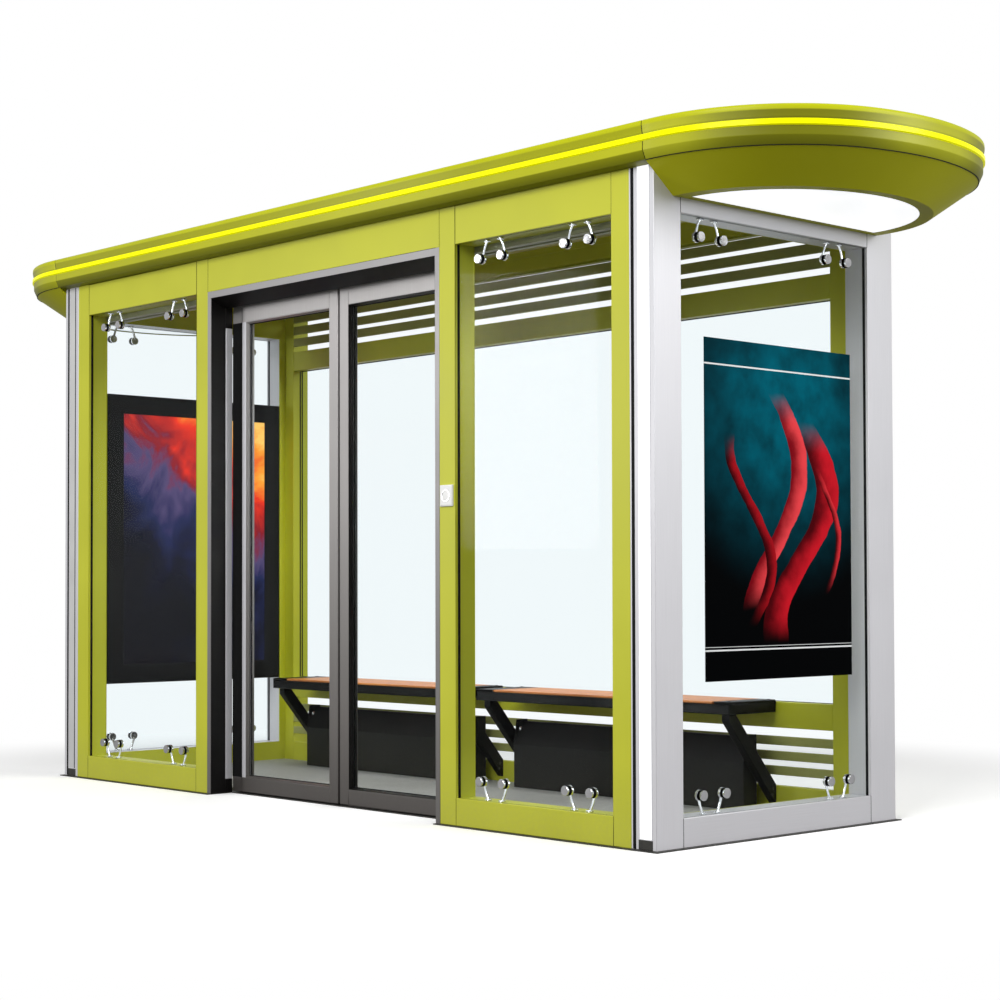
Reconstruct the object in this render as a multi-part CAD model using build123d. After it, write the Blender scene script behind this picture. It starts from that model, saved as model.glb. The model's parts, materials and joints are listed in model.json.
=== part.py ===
from build123d import *
import math
import os

# Bus shelter with bi-parting sliding doors, in millimetres.
# The origin is on the ground under the middle of the walls; -Y is the door side and +Z is up.

# Plan of the walls, from outer face to outer face. The doorway takes what the bays and posts leave.
shelter_length = 4000.0
shelter_depth = 1402.0
corner_width = 121.5
left_post_width = 98.0
left_bay_width = 934.0
left_door_post_width = 91.0
right_door_post_width = 94.0
right_bay_width = 850.0
right_post_width = 87.5

# Base, floor and wall heights.
base_thickness = 4.0
base_reach = 17.0
floor_thickness = 10.0
wall_height = 2430.0
header_height = 151.0
front_rail_height = 107.0
end_header_height = 157.0
end_rail_height = 105.0

# Front wall and door casing.
front_post_depth = 103.0
casing_depth = 81.0
casing_face = 26.0
casing_lip = 30.0
casing_drop = 73.0
guard_depth = 38.0
guard_foot = 60.0
guard_head_gap = 159.0

# Sliding doors and their track.
leaf_thickness = 50.0
leaf_clearance = 6.0
leaf_floor_gap = 5.5
leaf_head_gap = 10.0
leaf_edge_overlap = 5.5
meeting_gap = 14.0
meeting_stile = 59.0
outer_stile = 71.0
leaf_bottom_rail = 66.0
leaf_top_rail = 103.0
door_sill_gap = 10.0
floor_edge_gap = 5.0
drive_box_depth = 88.0
drive_box_drop = 24.0
hanger_thickness = 8.0
hanger_width = 90.0
hanger_inset = 110.0
carriage_depth = 28.0
carriage_height = 16.0
track_lip = 18.0
track_clearance = 7.0
running_gap = 0.5

# End walls.
end_thickness = 110.0
end_front_post = 141.7
end_back_post = 161.2
lining_thickness = 5.0

# Corner posts: light strip and shadow gap in the front face, each from the post's left edge.
light_from = 41.0
light_width = 57.0
light_depth = 8.0
light_foot = 38.0
shadow_gap_width = 9.5
shadow_gap_depth = 30.0
left_shadow_gap_from = 24.0
right_shadow_gap_from = 12.5

# Glass and its clamps.
glass_thickness = 10.0
glass_setback = 14.0
clamp_inset_front = 190.0
clamp_inset_end = 179.0
clamp_spacing = 126.0
clamp_root_spacing = 76.0
clamp_reach = 72.0
clamp_cap_radius = 24.0
clamp_cap_thickness = 12.0
clamp_cap_sides = 12
clamp_hub_sides = 10
clamp_arm_width = 12.0
clamp_root_width = 18.0
clamp_root_height = 10.0
clamp_glass_gap = 1.0

# Back wall, from the roof down and from the bottom rail up.
back_wall_inset = 125.0
back_wall_thickness = 98.0
rail_thickness = 40.0
slat_thickness = 14.0
left_back_post = 80.0
right_back_post = 104.0
top_rail_rise = 56.0
top_rail_height = 68.0
upper_slats = 3
upper_slat_height = 43.5
upper_slat_gap = 20.0
transom_gap = 28.5
transom_height = 101.0
seat_rail_height = 106.0
lower_slats = 3
lower_slat_gap = 24.0
lower_slat_top_gap = 35.0
lower_slat_bottom_gap = 45.0
bottom_rail_height = 106.0
back_glass_setback = 48.0

# Benches, each with a heater box below.
seat_height = 466.0
seat_depth = 297.0
seat_tube = 42.0
seat_tube_width = 40.0
seat_cross_bars = 5
seat_boards_per_bench = 4
seat_board_thickness = 10.0
seat_board_gap = 8.0
seat_board_left_inset = 120.0
seat_board_right_inset = 90.0
left_bench_gap = 300.0
left_bench_length = 1431.0
bench_parting = 134.0
right_bench_gap = 396.0
arm_width = 40.0
left_arm_inset = 56.0
arm_foot = 30.0
arm_depth = 82.0
arm_reach = 251.0
heater_reach = 157.0
heater_knee = 196.0
heater_height = 300.0
heater_top_reach = 97.0
heater_back_reach = 72.0
heater_left_gap = 9.0
heater_right_gap = 4.0
cheek_thickness = 4.0
cheek_rise = 10.0
cheek_top_reach = 142.0

# Picture panels.
poster_width = 860.0
poster_height = 1252.0
poster_foot = 479.0
poster_shift = 16.0
poster_thickness = 4.0
display_front_gap = 29.0
display_back_gap = 6.0
display_foot = 344.0
display_height = 1458.0
display_thickness = 45.0
display_reveal = 10.0
display_border = 84.0
screen_recess = 3.0
screen_thickness = 3.0
display_bar = 40.0
display_bar_thickness = 12.0
display_bar_inset = 120.0

# Button on the right door post.
button_width = 74.0
button_height = 84.0
button_level = 1251.0
button_thickness = 10.0

# Canopy edge, from the wall head up and from the outer edge in, and its rounded ends.
canopy_overhang = 58.0
seam_rise = 7.0
seam_inset = 15.0
bevel_height = 32.0
lower_band = 31.0
stripe_height = 24.0
stripe_projection = 8.0
stripe_bevel = 4.0
upper_band = 31.0
lip_height = 20.0
lip_projection = 6.0
lip_radius = 11.0
end_straight = 45.0
end_corner_radius = 648.0
end_corner_angle = 72.0

# Roof structure.
roof_beam_leg = 27.0
deck_thickness = 25.0
deck_drop = 5.0
ceiling_thickness = 5.0
ceiling_gap = 25.0

# Soffit bowls under the overhanging ends.
bowl_depth = 109.5
bowl_flat_start = 35.0
bowl_flat_length = 505.0
bowl_flat_half_width = 600.0
bowl_skin = 8.0
light_rim = 45.0
light_side_rim = 64.0
light_panel_thickness = 12.0

# Places that follow from the sizes above.
front_face = -shelter_depth / 2
back_face = shelter_depth / 2
left_face = -shelter_length / 2
right_face = shelter_length / 2
corner_left = left_face + corner_width
corner_right = right_face - corner_width
left_bay = (corner_left + left_post_width, corner_left + left_post_width + left_bay_width)
right_bay = (corner_right - right_post_width - right_bay_width, corner_right - right_post_width)
doorway = (left_bay[1] + left_door_post_width, right_bay[0] - right_door_post_width)
clear_way = (doorway[0] + casing_face, doorway[1] - casing_face)
door_centre = sum(clear_way) / 2
front_post_back = front_face + front_post_depth
casing_back = front_face + casing_depth
leaf_front = casing_back + guard_depth + leaf_clearance
leaf_back = leaf_front + leaf_thickness
leaf_middle = leaf_front + leaf_thickness / 2
inner_left = left_face + end_thickness
inner_right = right_face - end_thickness
end_open = (front_face + end_front_post, back_face - end_back_post)
back_plane = back_face - back_wall_inset
back_open = (inner_left + left_back_post, inner_right - right_back_post)

floor_top = base_thickness + floor_thickness
front_rail_top = base_thickness + front_rail_height
bay_head = wall_height - header_height
end_rail_top = base_thickness + end_rail_height
end_head = wall_height - end_header_height
drive_box_bottom = bay_head - drive_box_drop
track_level = drive_box_bottom + track_lip
leaf_bottom = base_thickness + leaf_floor_gap
leaf_top = drive_box_bottom - leaf_head_gap
seat_frame_top = seat_height - seat_board_thickness
seat_frame_bottom = seat_frame_top - seat_tube
seat_front = back_plane - seat_depth
top_rail_top = wall_height + top_rail_rise
top_rail_bottom = top_rail_top - top_rail_height
transom_top = top_rail_bottom - upper_slats * (upper_slat_gap + upper_slat_height) - transom_gap
transom_bottom = transom_top - transom_height
seat_rail_bottom = seat_frame_top - seat_rail_height
bottom_rail_top = base_thickness + bottom_rail_height

seam_level = wall_height + seam_rise
band_level = seam_level + bevel_height
stripe_bottom = band_level + lower_band
stripe_top = stripe_bottom + stripe_height
lip_level = stripe_top + upper_band
canopy_top = lip_level + lip_height
deck_bottom = canopy_top - deck_drop - deck_thickness
ceiling_level = deck_bottom - ceiling_gap - ceiling_thickness
bowl_bottom = seam_level - bowl_depth
light_length = bowl_flat_length - light_rim
light_half_width = bowl_flat_half_width - light_side_rim


def block(x, y, z):
    """A box from its spans along X, Y and Z."""
    size = [b - a for a, b in (x, y, z)]
    middle = [(a + b) / 2 for a, b in (x, y, z)]
    return Pos(*middle) * Box(*size)


def prism_x(outline, x):
    """A YZ outline extruded over a span along X."""
    face = Plane.YZ.offset(x[0]) * make_face(Polyline(*outline, close=True))
    return extrude(face, amount=x[1] - x[0], dir=(1, 0, 0))


def both_ends(solids):
    """Solids of the right end together with their mirrored twins at the left end."""
    return [*solids, *(mirror(s, about=Plane.YZ) for s in solids)]


# Base and floor.

def base_plate():
    """Thin plate under all the walls in three lengths, cut back at the doorway recess."""
    left = left_face - base_reach
    right = right_face + base_reach
    recess_back = leaf_front - door_sill_gap
    front = (front_face - base_reach, recess_back)
    back = (recess_back, back_face + base_reach)
    level = (0, base_thickness)
    return [
        block((left, right), back, level),
        block((left, clear_way[0]), front, level),
        block((clear_way[1], right), front, level),
    ]


def floor_deck():
    """Raised floor behind the run of the doors."""
    return [block((inner_left, inner_right), (leaf_back + floor_edge_gap, back_plane),
                  (base_thickness, floor_top))]


# Corner posts with their light strips.

def corner_light(x0):
    """Light strip in the front face of the corner post that starts at x0."""
    return block((x0 + light_from, x0 + light_from + light_width), (front_face, front_face + light_depth),
                 (base_thickness + light_foot, wall_height))


def front_corner_post(x0, side, gap_from):
    """Front corner post: a full-width face with a shadow gap and a light groove, and a narrower back."""
    level = (base_thickness, wall_height)
    face = block((x0, x0 + corner_width), (front_face, front_post_back), level)
    back = block(side, (front_post_back, end_open[0]), level)
    gap = block((x0 + gap_from, x0 + gap_from + shadow_gap_width),
                (front_face, front_face + shadow_gap_depth), level)
    return face + back - gap - corner_light(x0)


def corner_posts():
    """The four corner posts."""
    level = (base_thickness, wall_height)
    left = (left_face, inner_left)
    right = (inner_right, right_face)
    back = (end_open[1], back_face)
    return [
        front_corner_post(left_face, left, left_shadow_gap_from),
        front_corner_post(corner_right, right, right_shadow_gap_from),
        block(left, back, level),
        block(right, back, level),
    ]


def corner_lights():
    """The two light strips."""
    return [corner_light(left_face), corner_light(corner_right)]


# Front wall.

def front_row(spans, level):
    """Bars of the front wall over some spans along X, all of one depth and level."""
    return [block(x, (front_face, front_post_back), level) for x in spans]


def front_posts():
    """Four green posts that part the bays."""
    spans = [
        (corner_left, left_bay[0]),
        (left_bay[1], doorway[0]),
        (doorway[1], right_bay[0]),
        (right_bay[1], corner_right),
    ]
    return front_row(spans, (base_thickness, wall_height))


def front_headers():
    """Fascia panels over the bays and the doorway."""
    return front_row([left_bay, doorway, right_bay], (bay_head, wall_height))


def front_rails():
    """Bottom rails under the two bays."""
    return front_row([left_bay, right_bay], (base_thickness, front_rail_top))


# Doorway.

def jamb_row(y, level):
    """A pair of uprights, one at each side of the doorway."""
    return [block(x, y, level) for x in ((doorway[0], clear_way[0]), (clear_way[1], doorway[1]))]


def casing_head():
    """Head of the door casing: a lip on the front and an underside that slopes down inward."""
    outline = [
        (front_face, bay_head),
        (casing_back, bay_head),
        (casing_back, bay_head - casing_drop),
        (front_face, bay_head - casing_lip),
    ]
    return [prism_x(outline, clear_way)]


def casing_jambs():
    """Jambs of the door casing."""
    return jamb_row((front_face, casing_back), (base_thickness, bay_head))


def door_guards():
    """Upright guard strips that close the gap between the jambs and the leaves."""
    level = (base_thickness + guard_foot, bay_head - guard_head_gap)
    return jamb_row((casing_back, casing_back + guard_depth), level)


def drive_box():
    """Housing over the doors: a track with two lips that the carriages run on, and a closed top."""
    front = front_post_back
    back = front + drive_box_depth
    neck = hanger_thickness / 2 + track_clearance
    chamber = carriage_depth / 2 + track_clearance
    lip = (drive_box_bottom, track_level)
    cheek = (track_level, track_level + carriage_height + track_clearance)
    x = (corner_left, corner_right)
    return [
        block(x, (front, leaf_middle - neck), lip),
        block(x, (leaf_middle + neck, back), lip),
        block(x, (front, leaf_middle - chamber), cheek),
        block(x, (leaf_middle + chamber, back), cheek),
        block(x, (front, back), (cheek[1], wall_height)),
    ]


# Sliding doors, built for the right side and mirrored about the middle of the doorway.

def leaf_spans():
    """Spans of the right leaf and of its glass along X, and of the glass along Z."""
    leaf = (door_centre + meeting_gap / 2, clear_way[1] + leaf_edge_overlap)
    glass = (leaf[0] + meeting_stile, leaf[1] - outer_stile)
    return leaf, glass, (leaf_bottom + leaf_bottom_rail, leaf_top - leaf_top_rail)


def leaf_centred(thickness):
    """Span along Y of a part of some thickness in the middle of the leaf."""
    return (leaf_middle - thickness / 2, leaf_middle + thickness / 2)


def door_hanger(middle):
    """Hanger plate on the head of a leaf, with its carriage just above the lips of the track."""
    x = (middle - hanger_width / 2, middle + hanger_width / 2)
    seat = track_level + running_gap
    return [
        block(x, leaf_centred(hanger_thickness), (leaf_top, seat)),
        block(x, leaf_centred(carriage_depth), (seat, seat + carriage_height)),
    ]


def door_frame():
    """Right leaf: two stiles, two rails and two hangers."""
    leaf, glass, clear = leaf_spans()
    y = (leaf_front, leaf_back)
    return [
        block((leaf[0], glass[0]), y, (leaf_bottom, leaf_top)),
        block((glass[1], leaf[1]), y, (leaf_bottom, leaf_top)),
        block(glass, y, (leaf_bottom, clear[0])),
        block(glass, y, (clear[1], leaf_top)),
        *door_hanger(leaf[0] + hanger_inset),
        *door_hanger(leaf[1] - hanger_inset),
    ]


def door_glass():
    """Pane of the right leaf."""
    _, glass, clear = leaf_spans()
    return [block(glass, leaf_centred(glass_thickness), clear)]


def at_left_leaf(solids):
    """The same pieces on the other side of the doorway's middle."""
    return [mirror(s, about=Plane.YZ.offset(door_centre)) for s in solids]


def door_button():
    """Push plate in the middle of the right door post."""
    middle = (doorway[1] + right_bay[0]) / 2
    return [block((middle - button_width / 2, middle + button_width / 2),
                  (front_face - button_thickness, front_face), (button_level, button_level + button_height))]


# End walls, built for the right end.

def end_rails():
    """Bottom rail and head of the right end wall."""
    x = (inner_right, right_face)
    return [
        block(x, end_open, (base_thickness, end_rail_top)),
        block(x, end_open, (end_head, wall_height)),
    ]


def display_span():
    """Span of the display along Y, inside the window of its end wall."""
    return (end_open[0] + display_front_gap, end_open[1] - display_back_gap)


def end_lining():
    """Thin cover strips around the window, on the inner face of the right end wall."""
    x = (inner_right - lining_thickness, inner_right)
    window = (display_span()[0], end_open[1])
    full = (floor_top, wall_height)
    return [
        block(x, (front_post_back, window[0]), full),
        block(x, (window[1], back_plane), full),
        block(x, window, (floor_top, end_rail_top)),
        block(x, window, (end_head, wall_height)),
    ]


def poster_panel():
    """Picture panel on the outer face of the right end's pane."""
    x0 = right_face - glass_setback
    middle = sum(end_open) / 2 + poster_shift
    z0 = end_rail_top + poster_foot
    return [block((x0, x0 + poster_thickness), (middle - poster_width / 2, middle + poster_width / 2),
                  (z0, z0 + poster_height))]


def display_spans():
    """Spans of the display on the left end wall along X, Y and Z."""
    x1 = inner_left + display_reveal
    z0 = end_rail_top + display_foot
    return (x1 - display_thickness, x1), display_span(), (z0, z0 + display_height)


def picture_spans():
    """Spans of the display's picture along Y and Z, inside its border."""
    _, y, z = display_spans()
    return (y[0] + display_border, y[1] - display_border), (z[0] + display_border, z[1] - display_border)


def display_housing():
    """Slim housing of the display, with a shallow pocket for the picture."""
    x, y, z = display_spans()
    pocket = (x[1] - screen_recess - screen_thickness, x[1])
    return [block(x, y, z) - block(pocket, *picture_spans())]


def display_screen():
    """Picture sheet that lies in the pocket of the display."""
    x, _, _ = display_spans()
    sheet = (x[1] - screen_recess - screen_thickness, x[1] - screen_recess)
    return [block(sheet, *picture_spans())]


def display_bars():
    """Two bars behind the display, from post to post."""
    x, _, z = display_spans()
    levels = (z[0] + display_bar_inset, z[1] - display_bar_inset - display_bar)
    return [block((x[0] - display_bar_thickness, x[0]), end_open, (level, level + display_bar))
            for level in levels]


# Glass and its clamps. A pane is drawn in the XZ plane with its outer face toward -Y, then put in place.

def many_sided(radius, sides, y):
    """Disc across the pane, drawn with flat sides, over a span along Y."""
    face = Plane.XZ.offset(-y[1]) * RegularPolygon(radius, sides)
    return extrude(face, amount=y[1] - y[0], dir=(0, -1, 0))


def clamp(side, up):
    """One clamp: an outer cap on the pane, and a hub behind it on an arm from a foot on the rail."""
    face_y = glass_thickness / 2
    arm_y = face_y + clamp_glass_gap + clamp_root_width / 2
    root_x = side * clamp_root_spacing / 2
    hub_x = side * clamp_spacing / 2
    hub = Pos(hub_x, 0, up * clamp_reach)
    root = Pos(root_x, arm_y, up * clamp_root_height / 2) * Box(
        clamp_root_width, clamp_root_width, clamp_root_height)
    lean = math.degrees(math.atan2(hub_x - root_x, up * clamp_reach))
    length = math.hypot(hub_x - root_x, clamp_reach)
    arm = Pos(root_x, arm_y, 0) * Rot(0, lean, 0) * Pos(0, 0, length / 2 + clamp_root_height / 4) * Box(
        clamp_arm_width, clamp_arm_width, length - clamp_root_height / 2)
    inner = hub * many_sided(clamp_cap_radius, clamp_hub_sides, (face_y, face_y + clamp_cap_thickness))
    outer = hub * many_sided(clamp_cap_radius, clamp_cap_sides, (-face_y - clamp_cap_thickness, -face_y))
    return [outer, root + arm + inner]


def glazing(span, level, inset):
    """A pane, and the eight clamps that hold it."""
    pane = block(span, (-glass_thickness / 2, glass_thickness / 2), level)
    clamps = []
    for x in (span[0] + inset, span[1] - inset):
        for z, up in ((level[0], 1), (level[1], -1)):
            for side in (-1, 1):
                clamps += [Pos(x, 0, z) * part for part in clamp(side, up)]
    return pane, clamps


def front_glazing():
    """Panes and clamps of the two bays."""
    place = Pos(0, front_face + glass_setback + glass_thickness / 2, 0)
    panes = []
    clamps = []
    for bay in (left_bay, right_bay):
        pane, held = glazing(bay, (front_rail_top, bay_head), clamp_inset_front)
        panes.append(place * pane)
        clamps += [place * part for part in held]
    return panes, clamps


def end_glazing():
    """Pane and clamps of the right end wall."""
    place = Pos(right_face - glass_setback - glass_thickness / 2, 0, 0) * Rot(0, 0, 90)
    pane, held = glazing(end_open, (end_rail_top, end_head), clamp_inset_end)
    return [place * pane], [place * part for part in held]


# Back wall.

def back_posts():
    """Green posts at both ends of the back wall."""
    y = (back_plane, back_plane + back_wall_thickness)
    level = (base_thickness, top_rail_top)
    return [block((inner_left, back_open[0]), y, level), block((back_open[1], inner_right), y, level)]


def back_bar(thickness, level):
    """A bar between the back posts, flush with the inner plane of the back wall."""
    return block(back_open, (back_plane, back_plane + thickness), level)


def back_rails():
    """The four broad rails of the back wall, from the bottom rail to the top rail."""
    levels = [
        (base_thickness, bottom_rail_top),
        (seat_rail_bottom, seat_frame_top),
        (transom_bottom, transom_top),
        (top_rail_bottom, top_rail_top),
    ]
    return [back_bar(rail_thickness, level) for level in levels]


def back_slats():
    """Narrow slats with air gaps, above the transom and below the seat rail."""
    slats = []
    for i in range(upper_slats):
        z = top_rail_bottom - (i + 1) * (upper_slat_gap + upper_slat_height)
        slats.append(back_bar(slat_thickness, (z, z + upper_slat_height)))
    low = bottom_rail_top + lower_slat_bottom_gap
    room = seat_rail_bottom - lower_slat_top_gap - low
    height = (room - (lower_slats - 1) * lower_slat_gap) / lower_slats
    for i in range(lower_slats):
        z = low + i * (height + lower_slat_gap)
        slats.append(back_bar(slat_thickness, (z, z + height)))
    return slats


def back_glass():
    """Pane between the back posts, behind the seat rail and the transom."""
    y0 = back_plane + back_glass_setback
    return [block(back_open, (y0, y0 + glass_thickness), (seat_frame_top, transom_bottom))]


# Benches.

def bench_spans():
    """Spans of the two benches along X."""
    left = (inner_left + left_bench_gap, inner_left + left_bench_gap + left_bench_length)
    return [left, (left[1] + bench_parting, inner_right - right_bench_gap)]


def seat_frame(x):
    """Frame under a seat: tubes along the front and the wall, cross bars, and a cover plate at each end."""
    level = (seat_frame_bottom, seat_frame_top)
    inner = (seat_front + seat_tube_width, back_plane - seat_tube_width)
    bars = [block(x, (seat_front, inner[0]), level), block(x, (inner[1], back_plane), level)]
    step = (x[1] - x[0] - seat_tube_width) / (seat_cross_bars - 1)
    for i in range(seat_cross_bars):
        x0 = x[0] + i * step
        bars.append(block((x0, x0 + seat_tube_width), inner, level))
    covers = [
        (x[0], x[0] + seat_board_left_inset - seat_board_gap),
        (x[1] - seat_board_right_inset + seat_board_gap, x[1]),
    ]
    return bars + [block(cover, (seat_front, back_plane), (seat_frame_top, seat_height)) for cover in covers]


def seat_boards(x):
    """Wooden boards on the seat frame."""
    width = (seat_depth - (seat_boards_per_bench - 1) * seat_board_gap) / seat_boards_per_bench
    starts = [seat_front + i * (width + seat_board_gap) for i in range(seat_boards_per_bench)]
    length = (x[0] + seat_board_left_inset, x[1] - seat_board_right_inset)
    return [block(length, (y, y + width), (seat_frame_top, seat_height)) for y in starts]


def arm_spans(x):
    """Spans of the two arms of a bench along X."""
    return (x[0] + left_arm_inset, x[0] + left_arm_inset + arm_width), (x[1] - arm_width, x[1])


def bench_arms(x):
    """Sloping arm at each end of a bench, from under the seat down to the back wall."""
    foot = base_thickness + arm_foot
    top_y = back_plane - arm_reach
    slope = (seat_frame_bottom - foot - arm_depth) / arm_reach
    front_z = seat_frame_bottom - arm_depth + slope * (top_y - seat_front)
    outline = [
        (seat_front, seat_frame_bottom),
        (seat_front, front_z),
        (back_plane, foot),
        (back_plane, foot + arm_depth),
        (top_y, seat_frame_bottom),
    ]
    return [prism_x(outline, span) for span in arm_spans(x)]


def heater_outline(top_reach, height):
    """Section of the heater box: an upright front, then a slope up to a narrow top."""
    return [
        (back_plane - heater_reach, floor_top),
        (back_plane - heater_reach, floor_top + heater_knee),
        (back_plane - top_reach, floor_top + height),
        (back_plane - heater_back_reach, floor_top + height),
        (back_plane - heater_back_reach, floor_top),
    ]


def heater_box(x):
    """Box under a bench between the two arms, with a taller cheek at each end."""
    left, right = arm_spans(x)
    ends = (left[1] + heater_left_gap, right[0] - heater_right_gap)
    inner = (ends[0] + cheek_thickness, ends[1] - cheek_thickness)
    box = prism_x(heater_outline(heater_top_reach, heater_height), inner)
    cheek = heater_outline(cheek_top_reach, heater_height + cheek_rise)
    return [box + prism_x(cheek, (ends[0], inner[0])) + prism_x(cheek, (inner[1], ends[1]))]


def both_benches(make):
    """The pieces of one kind for both benches."""
    return [piece for x in bench_spans() for piece in make(x)]


# Roof: the edge profile is drawn in the YZ plane of the front side, as insets from the outer edge.

def canopy_points(*pairs):
    """Points of the profile from inset and level."""
    return [(front_face - canopy_overhang + inset, level) for inset, level in pairs]


def canopy_profile(wall_level):
    """Section of the canopy edge whose underside meets the wall at wall_level."""
    lip_start = (-lip_projection, canopy_top - lip_radius)
    outline = Polyline(*canopy_points(
        (lip_radius - lip_projection, canopy_top),
        (canopy_overhang, canopy_top),
        (canopy_overhang, wall_level),
        (seam_inset, seam_level),
        (0, band_level),
        (0, stripe_top),
        (-lip_projection, lip_level),
        lip_start,
    ))
    lip = JernArc(*canopy_points(lip_start), (0, 1), lip_radius, -90)
    return make_face([*outline.edges(), lip])


def stripe_profile():
    """Section of the light stripe on the canopy band."""
    return make_face(Polyline(*canopy_points(
        (0, stripe_bottom),
        (0, stripe_top),
        (-stripe_projection, stripe_top - stripe_bevel),
        (-stripe_projection, stripe_bottom + stripe_bevel),
    ), close=True))


def oval_path(inset):
    """Right end of the canopy in plan, at an inset from its outer edge, as tangent arcs."""
    half = shelter_depth / 2 + canopy_overhang
    turn = math.radians(end_corner_angle)
    corner_x = right_face + end_straight
    corner_y = half - end_corner_radius
    tip_radius = end_corner_radius + corner_y / math.cos(turn)
    tip = (corner_x - corner_y * math.tan(turn) + tip_radius - inset, 0)
    radius = end_corner_radius - inset

    def on_corner(angle, side):
        return (corner_x + radius * math.sin(angle), side * (corner_y + radius * math.cos(angle)))

    edges = [
        Line((right_face, inset - half), on_corner(0, -1)),
        ThreePointArc(on_corner(0, -1), on_corner(turn / 2, -1), on_corner(turn, -1)),
        ThreePointArc(on_corner(turn, -1), tip, on_corner(turn, 1)),
        ThreePointArc(on_corner(turn, 1), on_corner(turn / 2, 1), on_corner(0, 1)),
        Line(on_corner(0, 1), (right_face, half - inset)),
    ]
    return Wire([e.edge() for e in edges])


def canopy_run(profile):
    """Straight run of a profile along the front, and its twin along the back."""
    run = extrude(Plane.YZ.offset(left_face) * profile, amount=shelter_length, dir=(1, 0, 0))
    return [run, mirror(run, about=Plane.XZ)]


def canopy_end(profile):
    """A profile carried round the right end."""
    return sweep(Plane.YZ.offset(right_face) * profile, path=oval_path(0))


def closed_end(path):
    """Area between a path round the right end and the straight line that closes it."""
    return make_face([*path.edges(), Line(path @ 1, path @ 0)])


def half_ellipse(length, half_width):
    """Path round the flat bottom of the bowl: two short sides and half an ellipse."""
    turn = math.radians(end_corner_angle)
    side = math.degrees(math.atan(length / half_width * math.tan(turn)))
    tip = 180 - 2 * side
    centre = (right_face + bowl_flat_start, 0)
    edges = [
        Line((right_face, -half_width), (centre[0], -half_width)),
        EllipticalCenterArc(centre, length, half_width, -90, arc_size=side),
        EllipticalCenterArc(centre, length, half_width, side - 90, arc_size=tip),
        EllipticalCenterArc(centre, length, half_width, 90 - side, arc_size=side),
        Line((centre[0], half_width), (right_face, half_width)),
    ]
    return Wire([e.edge() for e in edges])


def bowl_solid(inset):
    """Solid between the seam outline and the flat bottom of the bowl, at an inset from its outside."""
    top = closed_end(oval_path(seam_inset + inset))
    bottom = closed_end(half_ellipse(bowl_flat_length - inset, bowl_flat_half_width - inset))
    return loft([Pos(0, 0, bowl_bottom + inset) * bottom, Pos(0, 0, seam_level) * top], ruled=True)


def light_panel():
    """Light panel in the bottom of the right bowl."""
    whole = Ellipse(light_length, light_half_width)
    half = whole & Pos(light_length, 0) * Rectangle(2 * light_length, 2 * light_half_width)
    plan = Pos(right_face + bowl_flat_start, 0, bowl_bottom) * half
    return extrude(plan, amount=light_panel_thickness)


def soffit_bowl():
    """Hollow bowl under the right end of the canopy, open at the light panel."""
    end_wall_side = block((right_face, right_face + bowl_skin), (front_face, back_face), (0, canopy_top))
    inside = bowl_solid(bowl_skin) - end_wall_side
    return bowl_solid(0) - inside - light_panel()


def roof_beams():
    """Ring of beams on the wall heads: front and back with a leg on the wall, and the two ends."""
    front = prism_x([
        (front_face, wall_height),
        (front_face + roof_beam_leg, wall_height),
        (front_face + roof_beam_leg, top_rail_top),
        (-back_plane, top_rail_top),
        (-back_plane, deck_bottom),
        (front_face, deck_bottom),
    ], (inner_left, inner_right))
    end = block((inner_right, right_face), (front_face, back_face), (wall_height, deck_bottom))
    return [front, mirror(front, about=Plane.XZ), end, mirror(end, about=Plane.YZ)]


def roof_deck():
    """Roof plate that closes the canopy from edge to edge."""
    end = closed_end(oval_path(canopy_overhang))
    plan = end + mirror(end, about=Plane.YZ) + Rectangle(shelter_length, shelter_depth)
    return [extrude(Pos(0, 0, deck_bottom) * plan, amount=deck_thickness)]


def ceiling_panel():
    """Ceiling sheet of the waiting room, between the roof beams."""
    return [block((inner_left, inner_right), (-back_plane, back_plane),
                  (ceiling_level, ceiling_level + ceiling_thickness))]


front_panes, front_clamps = front_glazing()
end_panes, end_clamps = end_glazing()
end_band = canopy_end(canopy_profile(seam_level))

nodes = {
    "base_plate": base_plate(),
    "floor_deck": floor_deck(),
    "corner_posts": corner_posts(),
    "corner_lights": corner_lights(),
    "front_posts": front_posts(),
    "front_headers": front_headers(),
    "front_rails": front_rails(),
    "front_glass": front_panes,
    "front_clamps": front_clamps,
    "door_casing_head": casing_head(),
    "door_casing_jambs": casing_jambs(),
    "door_guards": door_guards(),
    "door_drive_box": drive_box(),
    "door_frame_right": door_frame(),
    "door_frame_left": at_left_leaf(door_frame()),
    "door_glass_right": door_glass(),
    "door_glass_left": at_left_leaf(door_glass()),
    "door_button": door_button(),
    "end_rails": both_ends(end_rails()),
    "end_linings": both_ends(end_lining()),
    "end_glass": both_ends(end_panes),
    "end_clamps": both_ends(end_clamps),
    "poster_panel": poster_panel(),
    "display_housing": display_housing(),
    "display_screen": display_screen(),
    "display_bars": display_bars(),
    "back_posts": back_posts(),
    "back_rails": back_rails(),
    "back_slats": back_slats(),
    "back_glass": back_glass(),
    "bench_frames": both_benches(seat_frame),
    "bench_boards": both_benches(seat_boards),
    "bench_arms": both_benches(bench_arms),
    "heater_boxes": both_benches(heater_box),
    "canopy_sides": canopy_run(canopy_profile(wall_height)),
    "canopy_end_right": [end_band],
    "canopy_end_left": [mirror(end_band, about=Plane.YZ)],
    "canopy_stripes": canopy_run(stripe_profile()),
    "canopy_stripe_ends": both_ends([canopy_end(stripe_profile())]),
    "soffit_bowls": both_ends([soffit_bowl()]),
    "soffit_lights": both_ends([light_panel()]),
    "roof_beams": roof_beams(),
    "roof_deck": roof_deck(),
    "ceiling_panel": ceiling_panel(),
}

os.makedirs("parts", exist_ok=True)
for name, solids in nodes.items():
    shape = solids[0] if len(solids) == 1 else Compound(children=solids)
    export_step(shape, f"parts/{name}.step")
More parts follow.
